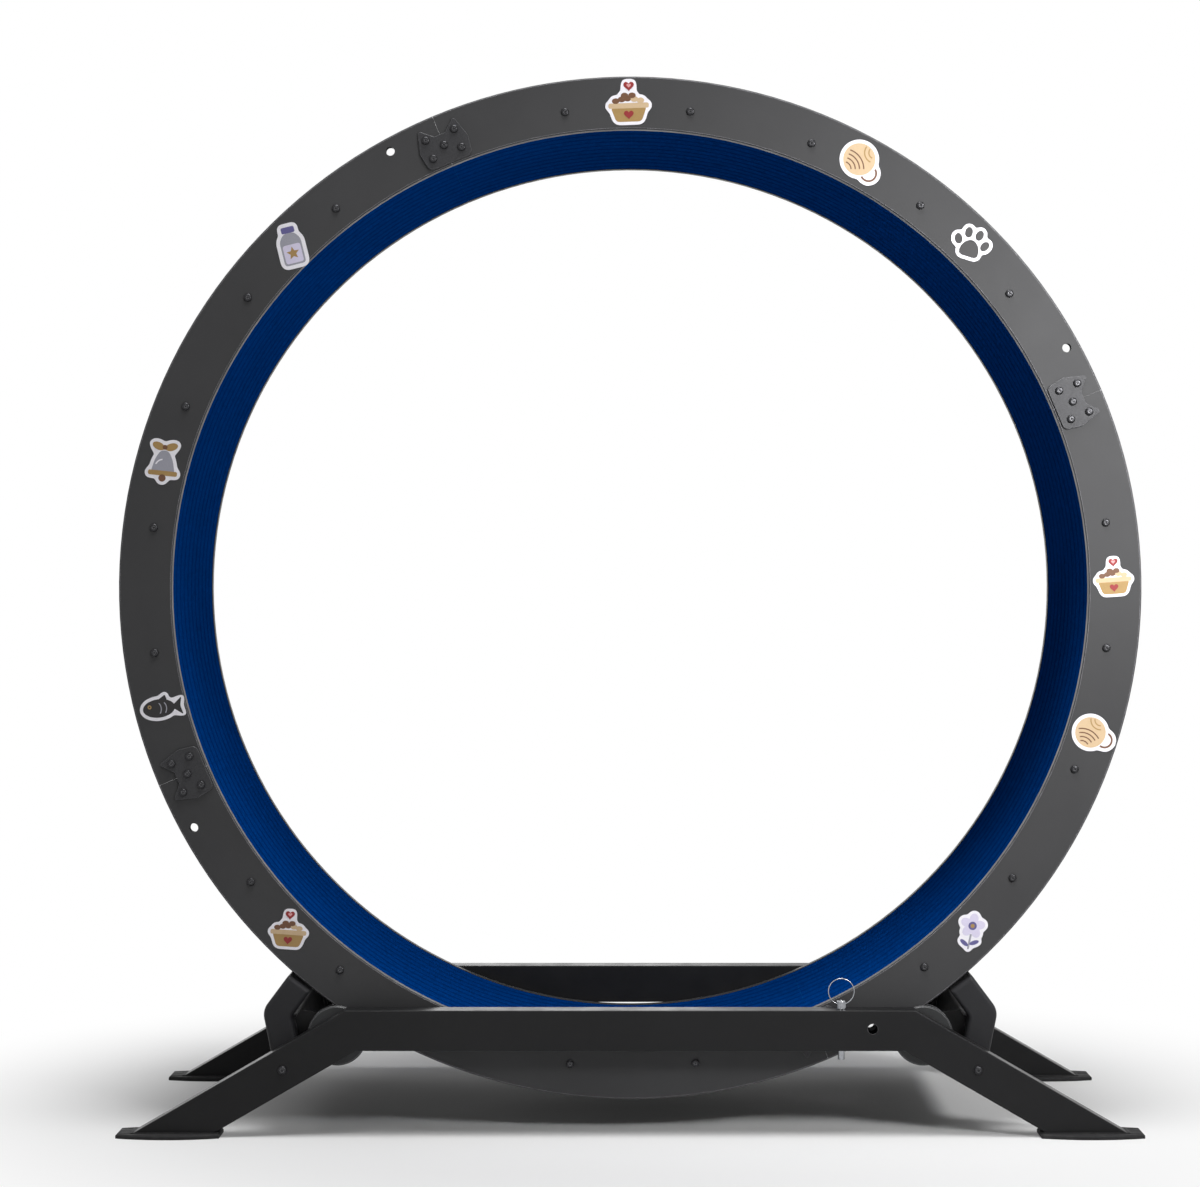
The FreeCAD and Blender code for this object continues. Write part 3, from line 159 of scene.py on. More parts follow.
class Surface:
    """A Principled material and the nodes that feed it."""

    def __init__(self, name, roughness, metallic=0.0, specular=0.5, coat=0.0):
        self.material = bpy.data.materials.new(name)
        self.material.use_nodes = True
        self.tree = self.material.node_tree
        self.shader = self.tree.nodes["Principled BSDF"]
        self.set("Roughness", roughness)
        self.set("Metallic", metallic)
        self.set("Specular IOR Level", specular)
        self.set("Coat Weight", coat)
        self.place = self.node("ShaderNodeTexCoord").outputs["Object"]

    def node(self, kind, **settings):
        node = self.tree.nodes.new(kind)
        for key, setting in settings.items():
            setattr(node, key, setting)
        return node

    def link(self, source, target):
        self.tree.links.new(source, target)

    def set(self, socket, setting):
        self.shader.inputs[socket].default_value = setting

    def feed(self, socket, source):
        self.link(source, self.shader.inputs[socket])

    def noise(self, scale, detail=3.0, rough=0.5, place=None):
        node = self.node("ShaderNodeTexNoise")
        self.link(place or self.place, node.inputs["Vector"])
        node.inputs["Scale"].default_value = scale
        node.inputs["Detail"].default_value = detail
        node.inputs["Roughness"].default_value = rough
        return node.outputs["Fac"]

    def cells(self, scale, place=None):
        node = self.node("ShaderNodeTexVoronoi", feature="F1")
        self.link(place or self.place, node.inputs["Vector"])
        node.inputs["Scale"].default_value = scale
        return node.outputs["Distance"]

    def stretched(self, place, along, across):
        """A laid-out surface's place with its own scale in each direction."""
        node = self.node("ShaderNodeMapping")
        node.inputs["Scale"].default_value = (along, across, 1)
        self.link(place, node.inputs["Vector"])
        return node.outputs["Vector"]

    def axes(self):
        """The place's X, Y and Z."""
        split = self.node("ShaderNodeSeparateXYZ")
        self.link(self.place, split.inputs["Vector"])
        return split.outputs

    def math(self, operation, first, second=None):
        node = self.node("ShaderNodeMath", operation=operation)
        for socket, source in zip(node.inputs, (first, second)):
            if source is None:
                continue
            if isinstance(source, (int, float)):
                socket.default_value = source
            else:
                self.link(source, socket)
        return node.outputs[0]

    def length(self, across, up):
        """The distance from an axis along Y."""
        square = self.math("ADD", self.math("MULTIPLY", across, across), self.math("MULTIPLY", up, up))
        return self.math("SQRT", square)

    def ramp(self, source, low, high, low_at, high_at):
        """A colour ramp between two colours."""
        node = self.node("ShaderNodeValToRGB")
        self.link(source, node.inputs["Fac"])
        ends = node.color_ramp.elements
        for end, at, color in ((ends[0], low_at, low), (ends[1], high_at, high)):
            end.position = at
            end.color = color
        return node.outputs["Color"]

    def mottled(self, pattern, color, dark, light, low_at=0.3, high_at=0.7):
        """A colour that runs between two shades of itself with a pattern."""
        return self.ramp(pattern, shade(color, dark), shade(color, light), low_at, high_at)

    def range(self, source, low, high, from_low=0.0, from_high=1.0):
        node = self.node("ShaderNodeMapRange", clamp=True)
        self.link(source, node.inputs["Value"])
        node.inputs["From Min"].default_value = from_low
        node.inputs["From Max"].default_value = from_high
        node.inputs["To Min"].default_value = low
        node.inputs["To Max"].default_value = high
        return node.outputs["Result"]

    def uneven_gloss(self, pattern, low, high):
        """Roughness that runs between two values with a pattern."""
        self.feed("Roughness", self.range(pattern, low, high, from_low=0.3, from_high=0.7))

    def patchy(self, mask, pattern, least, from_low=0.35, from_high=0.6):
        """A mask that falls to its least share where a pattern is low."""
        return self.math("MULTIPLY", mask, self.range(pattern, least, 1.0, from_low, from_high))

    def stripes(self, across, spacing, reach):
        """1 on lines at a spacing, 0 from a reach to either side of them."""
        return self.range(self.math("PINGPONG", across, spacing / 2), 1.0, 0.0, 0.0, reach)

    def mix(self, share, first, second):
        """Mixes two colours by a grey share."""
        node = self.node("ShaderNodeMix", data_type="RGBA")
        self.link(share, node.inputs["Factor"])
        sockets = [item for item in node.inputs if item.type == "RGBA"]
        for socket, source in zip(sockets, (first, second)):
            if isinstance(source, tuple):
                socket.default_value = source
            else:
                self.link(source, socket)
        return next(item for item in node.outputs if item.type == "RGBA")

    def bump(self, height, distance, strength=1.0, under=None):
        node = self.node("ShaderNodeBump")
        node.inputs["Strength"].default_value = strength
        node.inputs["Distance"].default_value = distance
        self.link(height, node.inputs["Height"])
        if under:
            self.link(under, node.inputs["Normal"])
        return node.outputs["Normal"]

    def edge_mask(self, radius, sharpness=0.25):
        """1 along convex and concave edges, from how far the rounded normal leaves the flat one."""
        bevel = self.node("ShaderNodeBevel", samples=6)
        bevel.inputs["Radius"].default_value = radius
        geometry = self.node("ShaderNodeNewGeometry")
        dot = self.node("ShaderNodeVectorMath", operation="DOT_PRODUCT")
        self.link(bevel.outputs["Normal"], dot.inputs[0])
        self.link(geometry.outputs["Normal"], dot.inputs[1])
        return self.range(dot.outputs["Value"], 1.0, 0.0, 1 - sharpness, 1.0)

    def rim_mask(self):
        """1 on the outward faces of the side rings, close to their outer and inner edges, where the rings' painted
        highlight goes.
        """
        band = 2 * MM
        depth = 1 * MM
        fade = 1 * MM
        axes = self.axes()
        radius = self.length(axes["X"], self.math("SUBTRACT", axes["Z"], WHEEL_Z))
        middle = (RING_OUTER + RING_INNER) / 2
        edge = (RING_OUTER - RING_INNER) / 2 - band
        from_middle = self.math("ABSOLUTE", self.math("SUBTRACT", radius, middle))
        near_edge = self.range(from_middle, 0.0, 1.0, edge - fade, edge)
        face = -RING_FRONT - depth
        on_face = self.range(self.math("ABSOLUTE", axes["Y"]), 0.0, 1.0, face - fade, face)
        return self.math("MULTIPLY", near_edge, on_face)

    def unrolled(self):
        """The wheel's surface laid flat, length round the wheel by width along Y, and the width alone."""
        axes = self.axes()
        angle = self.math("ARCTAN2", self.math("SUBTRACT", axes["Z"], WHEEL_Z), axes["X"])
        join = self.node("ShaderNodeCombineXYZ")
        self.link(self.math("MULTIPLY", angle, CARPET_LAID), join.inputs["X"])
        self.link(axes["Y"], join.inputs["Y"])
        return join.outputs["Vector"], axes["Y"]


# ---------------------------------------------------------------- materials


def ring_material():
    """Satin side rings: a fine moulded grain and a patchy painted highlight along the rims' edges."""
    made = Surface("ring_satin_grey", roughness=0.5, specular=0.12)
    tone = made.mottled(made.noise(5, detail=4, rough=0.55), srgb(64, 64, 65), dark=0.92, light=1.1)
    # Painted highlight: a pale line along the rings' outer and inner edges, broken up by noise.
    edge = made.math("MULTIPLY", made.edge_mask(1.0 * MM, sharpness=0.2), made.rim_mask())
    edge_highlight = made.patchy(edge, made.noise(45, detail=5, rough=0.7), least=0.55)
    made.feed("Base Color", made.mix(edge_highlight, tone, srgb(205, 203, 210)))
    made.uneven_gloss(made.noise(22, detail=5, rough=0.6), low=0.44, high=0.54)
    fine = made.bump(made.noise(1500, detail=2, rough=0.6), 0.05 * MM, strength=0.5)
    coarse = made.noise(260, detail=3, rough=0.6)
    made.feed("Normal", made.bump(coarse, 0.12 * MM, strength=0.3, under=fine))
    return made.material


def plate_material():
    """Steel joint plates with a speckled grey powder coat and a painted highlight along their edges."""
    made = Surface("joint_plate_powder_coat", roughness=0.5, metallic=0.15, specular=0.2)
    speck = made.noise(900, detail=3, rough=0.7)
    tone = made.mottled(speck, srgb(56, 56, 58), dark=0.72, light=1.28, low_at=0.35, high_at=0.65)
    # Painted highlight: a paler line along the plates' edges.
    edge = made.edge_mask(0.6 * MM, sharpness=0.2)
    made.feed("Base Color", made.mix(edge, tone, srgb(128, 128, 130)))
    made.uneven_gloss(made.noise(300), low=0.34, high=0.5)
    made.feed("Normal", made.bump(speck, 0.12 * MM, strength=0.6))
    return made.material


def screw_material():
    """Black oxide screws: dark steel with a patchy painted highlight on their edges."""
    made = Surface("screw_black_oxide", roughness=0.3, metallic=0.85, specular=0.3)
    tone = made.mottled(made.cells(500), srgb(52, 52, 54), dark=0.8, light=1.2, low_at=0.2, high_at=0.8)
    # Painted highlight: a bright ring on the heads' edges, broken up by noise.
    edge_highlight = made.patchy(made.edge_mask(0.6 * MM), made.noise(700), least=0.6)
    made.feed("Base Color", made.mix(edge_highlight, tone, srgb(158, 158, 161)))
    made.uneven_gloss(made.noise(300, detail=4), low=0.24, high=0.38)
    made.feed("Normal", made.bump(made.noise(1500, detail=3, rough=0.6), 0.02 * MM, strength=0.4))
    return made.material


def metal_material(name, color, roughness, mottle, scale, depth=0.02 * MM):
    """Plated or ground metal with a cloudy tone."""
    made = Surface(name, roughness, metallic=1.0)
    tone = made.mottled(made.cells(scale), color, 1 - mottle, 1 + mottle, low_at=0.2, high_at=0.8)
    made.feed("Base Color", tone)
    made.uneven_gloss(made.noise(scale * 0.6, detail=4), low=roughness * 0.75, high=roughness * 1.3)
    made.feed("Normal", made.bump(made.noise(scale * 3, detail=3, rough=0.6), depth, strength=0.4))
    return made.material


def moulded_material(name, color, roughness, grain, depth, specular, mottle=0.12, edge_highlight_look=None):
    """Moulded or coated surface: mottled colour, fine grain and uneven gloss.

    The last argument gives the width and the colour of a patchy painted highlight along its edges.
    """
    made = Surface(name, roughness, specular=specular)
    tone = made.mottled(made.noise(9, detail=4, rough=0.6), color, 1 - mottle, 1 + mottle)
    if edge_highlight_look:
        width, paler = edge_highlight_look
        # Painted highlight along the edges, broken up by noise.
        edge_highlight = made.patchy(made.edge_mask(width), made.noise(60, detail=5, rough=0.7), least=0.35)
        tone = made.mix(edge_highlight, tone, paler)
    made.feed("Base Color", tone)
    spread = 0.06
    gloss = made.noise(35, detail=4, rough=0.6)
    made.uneven_gloss(gloss, low=roughness - spread, high=roughness + spread)
    coarse = made.bump(made.noise(grain * 0.12, detail=2), depth * 1.5, strength=0.35)
    made.feed("Normal", made.bump(made.cells(grain), depth, strength=0.6, under=coarse))
    return made.material


def carpet_material():
    """Ribbed needle felt: navy fibres, with painted shade in the grooves, darkest in every fourth one."""
    color = srgb(0, 55, 125)
    made = Surface("carpet_navy_felt", roughness=0.95, specular=0.0)
    laid, width = made.unrolled()
    strands = made.noise(1, detail=4, rough=0.65, place=made.stretched(laid, along=350, across=1400))
    clumps = made.cells(1, place=made.stretched(laid, along=160, across=300))
    from_side = made.math("ADD", width, CARPET_HALF)
    # Painted shade: the grooves darker, every fourth, deep one darkest.
    groove_shade = made.stripes(from_side, RIB_PITCH, reach=RIB_PITCH * 0.3)
    deep_groove_shade = made.stripes(from_side, RIB_PITCH * GROOVE_EVERY, reach=RIB_PITCH * 0.85)
    between_clumps = made.range(clumps, 0.0, 0.45, from_low=0.35, from_high=0.9)
    tone = made.mottled(strands, color, dark=0.62, light=1.42, high_at=0.72)
    tone = made.mix(between_clumps, tone, shade(color, 0.45))
    tone = made.mix(made.math("MULTIPLY", groove_shade, 0.5), tone, shade(color, 0.35))
    tone = made.mix(made.math("MULTIPLY", deep_groove_shade, 0.6), tone, shade(color, 0.15))
    walked_on = made.range(made.noise(3.5, detail=4, rough=0.6), 0.0, 0.18, from_low=0.45, from_high=0.8)
    made.feed("Base Color", made.mix(walked_on, tone, shade(color, 1.8)))
    height = made.math("SUBTRACT", strands, made.math("MULTIPLY", clumps, 0.5))
    made.feed("Normal", made.bump(height, 0.5 * MM, strength=0.8))
    return made.material


def frame_material():
    """Base steelwork: satin charcoal powder coat with fine orange peel and a patchy painted highlight along its
    corners.
    """
    made = Surface("base_powder_coat", roughness=0.4, specular=0.16)
    tone = made.mottled(made.noise(7, detail=4, rough=0.6), srgb(28, 28, 29), dark=0.88, light=1.14)
    # Painted highlight: a pale line along the corners, broken up by noise.
    edge = made.edge_mask(1.0 * MM, sharpness=0.3)
    highlight_patches = made.noise(80, detail=5, rough=0.7)
    edge_highlight = made.patchy(edge, highlight_patches, least=0.4, from_low=0.4, from_high=0.62)
    made.feed("Base Color", made.mix(edge_highlight, tone, srgb(146, 146, 148)))
    made.uneven_gloss(made.noise(30, detail=4, rough=0.6), low=0.3, high=0.42)
    peel = made.bump(made.noise(420, detail=2, rough=0.4), 0.09 * MM, strength=0.5)
    fine = made.noise(1800, detail=2, rough=0.6)
    made.feed("Normal", made.bump(fine, 0.03 * MM, strength=0.6, under=peel))
    return made.material


def roller_material():
    """Turned plastic rollers: fine rings round their own axles and a painted highlight on their edges."""
    made = Surface("roller_nylon", roughness=0.38, specular=0.3)
    tone = made.mottled(made.noise(40), srgb(50, 51, 52), dark=0.9, light=1.15)
    # Painted highlight: a pale line along the edges.
    edge = made.math("MULTIPLY", made.edge_mask(1.2 * MM, sharpness=0.2), 0.9)
    made.feed("Base Color", made.mix(edge, tone, srgb(165, 165, 168)))
    tool_step = 0.8 * MM
    axes = made.axes()
    across = made.math("SUBTRACT", made.math("ABSOLUTE", axes["X"]), ROLLER_X)
    up = made.math("SUBTRACT", axes["Z"], ROLLER_Z)
    rings = made.math("SINE", made.math("MULTIPLY", made.length(across, up), 2 * math.pi / tool_step))
    fine = made.bump(made.noise(900), 0.03 * MM, strength=0.4)
    made.feed("Normal", made.bump(rings, 0.03 * MM, strength=0.5, under=fine))
    made.uneven_gloss(made.noise(120), low=0.33, high=0.46)
    return made.material


def rubber_material():
    """Moulded rubber feet: dull, with a fine pebble, a faint painted highlight on their edges and a little dust.
    """
    made = Surface("foot_rubber", roughness=0.72, specular=0.2)
    tone = made.mottled(made.noise(140, detail=4), srgb(38, 38, 39), dark=0.85, light=1.15)
    # Painted highlight: a faint paler line along the edges.
    edge = made.math("MULTIPLY", made.edge_mask(0.8 * MM, sharpness=0.3), 0.45)
    tone = made.mix(edge, tone, srgb(88, 88, 88))
    dust = made.range(made.noise(55, detail=5, rough=0.7), 0.0, 0.35, from_low=0.5, from_high=0.8)
    made.feed("Base Color", made.mix(dust, tone, srgb(74, 73, 71)))
    made.feed("Normal", made.bump(made.cells(900), 0.1 * MM, strength=0.6))
    made.uneven_gloss(made.noise(90), low=0.64, high=0.82)
    return made.material


def vinyl_material(name, color):
    """Printed sticker ink under a clear film."""
    made = Surface("sticker_" + name, roughness=0.42, specular=0.35, coat=0.12)
    made.set("Coat Roughness", 0.25)
    print_grain = made.noise(1100, detail=3, rough=0.7)
    tone = made.mottled(print_grain, color, dark=0.9, light=1.06)
    wash = made.range(made.noise(90, detail=4, rough=0.6), 0.0, 0.3, from_low=0.45, from_high=0.75)
    made.feed("Base Color", made.mix(wash, tone, shade(color, 0.78)))
    made.feed("Normal", made.bump(made.noise(500, detail=2), 0.03 * MM, strength=0.4))
    return made.material


# ---------------------------------------------------------------- mesh helpers


def add_mesh(name, verts, faces, materials, body, smooth=None, indices=None):
    """A mesh object that rides on a body and takes its finish from a slot."""
    mesh = bpy.data.meshes.new(name)
    mesh.from_pydata(verts, [], faces)
    for material in materials:
        mesh.materials.append(material)
    if indices:
        mesh.polygons.foreach_set("material_index", indices)
    if smooth:
        mesh.polygons.foreach_set("use_smooth", smooth)
    mesh.validate()
    shape = bmesh.new()
    shape.from_mesh(mesh)
    bmesh.ops.recalc_face_normals(shape, faces=shape.faces)
    shape.to_mesh(mesh)
    shape.free()
    piece = bpy.data.objects.new(name, mesh)
    bpy.context.scene.collection.objects.link(piece)
    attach(piece, body)
    return piece


def polar(radius, degrees, x=0.0, y=0.0):
    """The point at a radius and an angle about (x, y)."""
    turn = math.radians(degrees)
    return (x + radius * math.cos(turn), y + radius * math.sin(turn))


def turned(across, up, degrees):
    """A point turned about the origin."""
    cosine = math.cos(math.radians(degrees))
    sine = math.sin(math.radians(degrees))
    return (across * cosine - up * sine, across * sine + up * cosine)


def at_wheel(radius, degrees, y):
    """The point at a radius and an angle about the wheel's axis."""
    x, z = polar(radius, degrees, 0.0, WHEEL_Z)
    return (x, y, z)


# ---------------------------------------------------------------- carpet


def groove_depth(number):
    return DEEP_GROOVE if number % GROOVE_EVERY == 0 else SHALLOW_GROOVE


def carpet_profile():
    """Points (y, radius) across the carpet's ribs, and then its back."""
    points = [(-CARPET_HALF, CARPET_CREST + SIDE_DROP)]
    for rib in range(RIB_COUNT):
        start = -CARPET_HALF + rib * RIB_PITCH
        left = groove_depth(rib)
        right = groove_depth(rib + 1)
        if rib:
            points.append((start, CARPET_CREST + left))
        points.append((start + SHOULDER_START * RIB_PITCH, CARPET_CREST + SHOULDER_DROP * left))
        points.append((start + CROWN_START * RIB_PITCH, CARPET_CREST + CROWN_DROP))
        points.append((start + (1 - CROWN_START) * RIB_PITCH, CARPET_CREST + CROWN_DROP))
        points.append((start + (1 - SHOULDER_START) * RIB_PITCH, CARPET_CREST + SHOULDER_DROP * right))
    points.append((CARPET_HALF, CARPET_CREST + SIDE_DROP))
    points.append((CARPET_HALF, CARPET_BACK - BACK_BEVEL))
    points.append((CARPET_HALF - BACK_BEVEL, CARPET_BACK))
    points.append((-CARPET_HALF + BACK_BEVEL, CARPET_BACK))
    points.append((-CARPET_HALF, CARPET_BACK - BACK_BEVEL))
    return points


def add_carpet(number, material):
    """One quarter of the drum's carpet, in the place of its plain strip."""
    profile = carpet_profile()
    count = len(profile)
    sweep = 360 / SEGMENTS - JOINT_GAP
    start = FIRST_JOINT + (number - 1) * 360 / SEGMENTS + JOINT_GAP / 2
    verts = []
    for step in range(CARPET_STEPS + 1):
        angle = start + sweep * step / CARPET_STEPS
        verts += [at_wheel(radius, angle, y) for y, radius in profile]
    faces = []
    for step in range(CARPET_STEPS):
        low = step * count
        high = low + count
        for at in range(count):
            after = (at + 1) % count
            faces.append((low + at, low + after, high + after, high + at))
    smooth = [True] * len(faces)
    faces.append(tuple(range(count)))
    faces.append(tuple(CARPET_STEPS * count + at for at in range(count)))
    smooth += [False, False]
    piece = add_mesh(f"ribbed_carpet_{number}", verts, faces, [material], "wheel", smooth)
    piece.data.set_sharp_from_angle(angle=math.radians(62))
    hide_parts(f"carpet_{number}")


# ---------------------------------------------------------------- stickers

# A motif is a list of layers, each an outline and its ink, in mm about the sticker's middle.


def oval(x, y, wide, high, turn=0, count=26):
    """Points of an ellipse by its half axes."""
    points = []
    for k in range(count):
        angle = 2 * math.pi * k / count
        across, up = turned(wide * math.cos(angle), high * math.sin(angle), turn)
        points.append((x + across, y + up))
    return points


def heart(x, y, size, count=32):
    """Points of a heart by half its width, from the curve whose own half width is 16."""
    points = []
    for k in range(count):
        t = 2 * math.pi * k / count
        across = 16 * math.sin(t) ** 3
        up = 13 * math.cos(t) - 5 * math.cos(2 * t) - 2 * math.cos(3 * t) - math.cos(4 * t)
        points.append((x + size * across / 16, y + size * (up + 2) / 16))
    return points


def star(x, y, outer, inner, tips):
    """Points of a star with one tip at its top."""
    points = []
    for k in range(2 * tips):
        reach = outer if k % 2 == 0 else inner
        points.append(polar(reach, 90 + 180 * k / tips, x, y))
    return points


def band(x, y, radius, width, start, stop, count=14):
    """A curved stripe."""
    outside, inside = [], []
    for k in range(count + 1):
        angle = start + (stop - start) * k / count
        outside.append(polar(radius + width / 2, angle, x, y))
        inside.append(polar(radius - width / 2, angle, x, y))
    return outside + inside[::-1]


def rounded(corners, radius, count=5):
    """A polygon with rounded corners."""
    points = []
    total = len(corners)
    for at in range(total):
        corner = Vector(corners[at])
        before = (Vector(corners[at - 1]) - corner).normalized() * radius
        after = (Vector(corners[(at + 1) % total]) - corner).normalized() * radius
        for k in range(count + 1):
            t = k / count
            spot = corner + before * (1 - t) ** 2 + after * t**2
            points.append(tuple(spot))
    return points


def bowl_motif():
    """A full food bowl with a heart over it."""
    layers = [(rounded([(-24, -2), (24, -2), (17, -22), (-17, -22)], 5), "ochre")]
    layers.append((rounded([(-27, 3), (27, 3), (27, -4), (-27, -4)], 3), "beige"))
    for x, y in ((-17, 6), (-9, 8), (-1, 9), (8, 8), (16, 6), (-5, 13), (5, 13)):
        layers.append((oval(x, y, 5, 3.8), "brown" if x % 2 else "beige"))
    layers.append((heart(0, -13, 6.5), "red"))
    layers.append((heart(1, 25, 7), "red"))
    layers.append((heart(1, 26, 3), "pink"))
    return layers


def yarn_motif():
    """A ball of yarn with its loose end."""
    layers = [(band(13, -13, 9, 2.4, -150, 40), "brown"), (oval(0, 2, 19, 19, 0, 36), "beige")]
    for radius in (9, 14, 19, 24):
        layers.append((band(-17, -12, radius, 1.5, 8, 78), "brown"))
    for radius in (7, 12):
        layers.append((band(17, 12, radius, 1.5, 150, 252), "ochre"))
    return layers


def paw_motif():
    """A paw print."""
    layers = [(rounded([(-13, -15), (13, -15), (11, 0), (0, 8), (-11, 0)], 7), "black")]
    for x, y, turn in ((-17, 3, 25), (-7, 14, 8), (7, 14, -8), (17, 3, -25)):
        layers.append((oval(x, y, 4.8, 6.6, turn), "black"))
    return layers


def fish_motif():
    """A black fish with light stripes."""
    layers = [(rounded([(12, 0), (27, 12), (24, 0), (27, -12)], 3), "black")]
    layers.append((oval(-4, 0, 21, 12, 0, 36), "black"))
    layers.append((rounded([(-8, 9), (6, 17), (8, 8)], 2), "black"))
    for x in (0, 7):
        layers.append((band(x - 12, 0, 11, 1.3, -38, 38), "grey"))
    layers.append((oval(-16, 3, 2.6, 2.6), "ochre"))
    layers.append((oval(-16, 3, 1.1, 1.1), "black"))
    return layers


def flower_motif():
    """A flower of five petals on a stalk with two leaves."""
    layers = [(rounded([(-1.4, -26), (1.4, -26), (1.4, -4), (-1.4, -4)], 1), "grey")]
    layers.append((oval(-7, -18, 7, 3, -30), "purple"))
    layers.append((oval(7, -15, 7, 3, 30), "purple"))
    for k in range(5):
        angle = 90 + 72 * k
        x, y = polar(10, angle, 0, 8)
        layers.append((oval(x, y, 8, 6.4, angle), "lilac"))
    layers.append((oval(0, 8, 6, 6), "purple"))
    layers.append((oval(0, 8, 3, 3), "ochre"))
    return layers


def bell_motif():
    """A bell with a bow."""
    layers = [(rounded([(-15, -15), (15, -15), (11, 2), (5, 13), (-5, 13), (-11, 2)], 5), "grey")]
    layers.append((rounded([(-18, -12), (18, -12), (18, -18), (-18, -18)], 2.5), "ochre"))
    layers.append((oval(0, -21, 4.5, 4.5), "brown"))
    layers.append((oval(-8, 18, 8, 4.6, -20), "ochre"))
    layers.append((oval(8, 18, 8, 4.6, 20), "ochre"))
    layers.append((oval(0, 17, 3, 3), "brown"))
    layers.append((band(0, -8, 10, 1.6, 100, 160), "white"))
    return layers


def milk_motif():
    """A milk bottle with a star."""
    layers = [(rounded([(-12, -24), (12, -24), (12, 4), (6, 12), (-6, 12), (-12, 4)], 4), "grey")]
    layers.append((rounded([(-10, -22), (10, -22), (10, -1), (-10, -1)], 3), "lilac"))
    layers.append((rounded([(-7.5, 12), (7.5, 12), (7.5, 19), (-7.5, 19)], 2), "purple"))
    layers.append((star(0, -11, 7.5, 3.4, 5), "ochre"))
    return layers


def along(outline, step=1.0):
    """Points close together on a closed outline."""
    points = []
    for at, corner in enumerate(outline):
        start = Vector(corner)
        stop = Vector(outline[(at + 1) % len(outline)])
        count = max(1, math.ceil((stop - start).length / step))
        points += [start.lerp(stop, k / count) for k in range(count)]
    return points


def cut_line(layers):
    """The die-cut edge: a smooth outline that clears every layer by the margin."""
    points = [point for outline, _ in layers for point in along(outline)]
    reach = []
    for k in range(CUT_POINTS):
        toward = Vector(polar(1.0, 360 * k / CUT_POINTS))
        best = CUT_LEAST
        for point in points:
            ahead = point.dot(toward)
            aside = abs(point.x * toward.y - point.y * toward.x)
            if ahead > 0 and aside < CUT_MARGIN:
                best = max(best, ahead + math.sqrt(CUT_MARGIN**2 - aside**2))
        reach.append(best)
    for _ in range(CUT_SMOOTHINGS):
        after = reach[1:] + reach[:1]
        reach = [(reach[k - 1] + 2 * reach[k] + after[k]) / 4 for k in range(CUT_POINTS)]
    return [polar(reach[k], 360 * k / CUT_POINTS) for k in range(CUT_POINTS)]


def add_sticker(name, layers, angle, radius, scale, lean, inks):
    """A die-cut sticker on the front ring: white vinyl with thin layers of ink."""
    middle_x, _, middle_z = at_wheel(radius, angle, RING_FRONT)
    names = ["white"] + sorted({ink for _, ink in layers} - {"white"})
    verts, faces, indices = [], [], []

    def prism(outline, back, front, ink):
        first = len(verts)
        count = len(outline)
        for y in (back, front):
            for spot in outline:
                across, up = turned(*spot, lean)
                verts.append((middle_x + scale * MM * across, y, middle_z + scale * MM * up))
        for at in range(count):
            after = (at + 1) % count
            faces.append((first + at, first + after, first + count + after, first + count + at))
        faces.append(tuple(range(first, first + count)))
        faces.append(tuple(range(first + count, first + 2 * count)))
        indices.extend([names.index(ink)] * (count + 2))

    prism(cut_line(layers), RING_FRONT, RING_FRONT - VINYL, "white")
    for level, (outline, ink) in enumerate(layers, start=1):
        prism(outline, RING_FRONT - VINYL / 2, RING_FRONT - VINYL - level * INK, ink)
    materials = [inks[ink] for ink in names]
    add_mesh(name, verts, faces, materials, "wheel", indices=indices)


def add_stickers():
    inks = {
        "white": vinyl_material("white", srgb(232, 230, 236)),
        "beige": vinyl_material("beige", srgb(196, 170, 136)),
        "ochre": vinyl_material("ochre", srgb(158, 128, 78)),
        "brown": vinyl_material("brown", srgb(104, 70, 48)),
        "red": vinyl_material("red", srgb(138, 40, 42)),
        "pink": vinyl_material("pink", srgb(210, 150, 150)),
        "black": vinyl_material("black", srgb(22, 20, 22)),
        "grey": vinyl_material("grey", srgb(150, 150, 160)),
        "purple": vinyl_material("purple", srgb(92, 88, 138)),
        "lilac": vinyl_material("lilac", srgb(206, 200, 222)),
    }
    # Name, motif, angle round the wheel, radius in mm, scale, and lean in degrees.
    places = [
        ("bowl_top", bowl_motif, 90.2, 566, 0.88, 2),
        ("yarn_upper_right", yarn_motif, 61.8, 568, 1.0, -8),
        ("paw_right", paw_motif, 45.2, 567, 0.95, -18),
        ("bowl_right", bowl_motif, 1.0, 567, 0.78, 4),
        ("yarn_right", yarn_motif, -17.6, 567, 0.95, 20),
        ("flower_lower_right", flower_motif, -45.2, 568, 0.82, -12),
        ("bowl_lower_left", bowl_motif, -134.8, 569, 0.78, -4),
        ("fish_left", fish_motif, -165.6, 567, 0.9, 8),
        ("bell_left", bell_motif, 164.8, 567, 0.95, -6),
        ("milk_upper_left", milk_motif, 134.6, 567, 1.05, 14),
    ]
    for name, motif, angle, radius, scale, lean in places:
        add_sticker("sticker_" + name, motif(), angle, radius * MM, scale, lean, inks)


# ---------------------------------------------------------------- lock pin


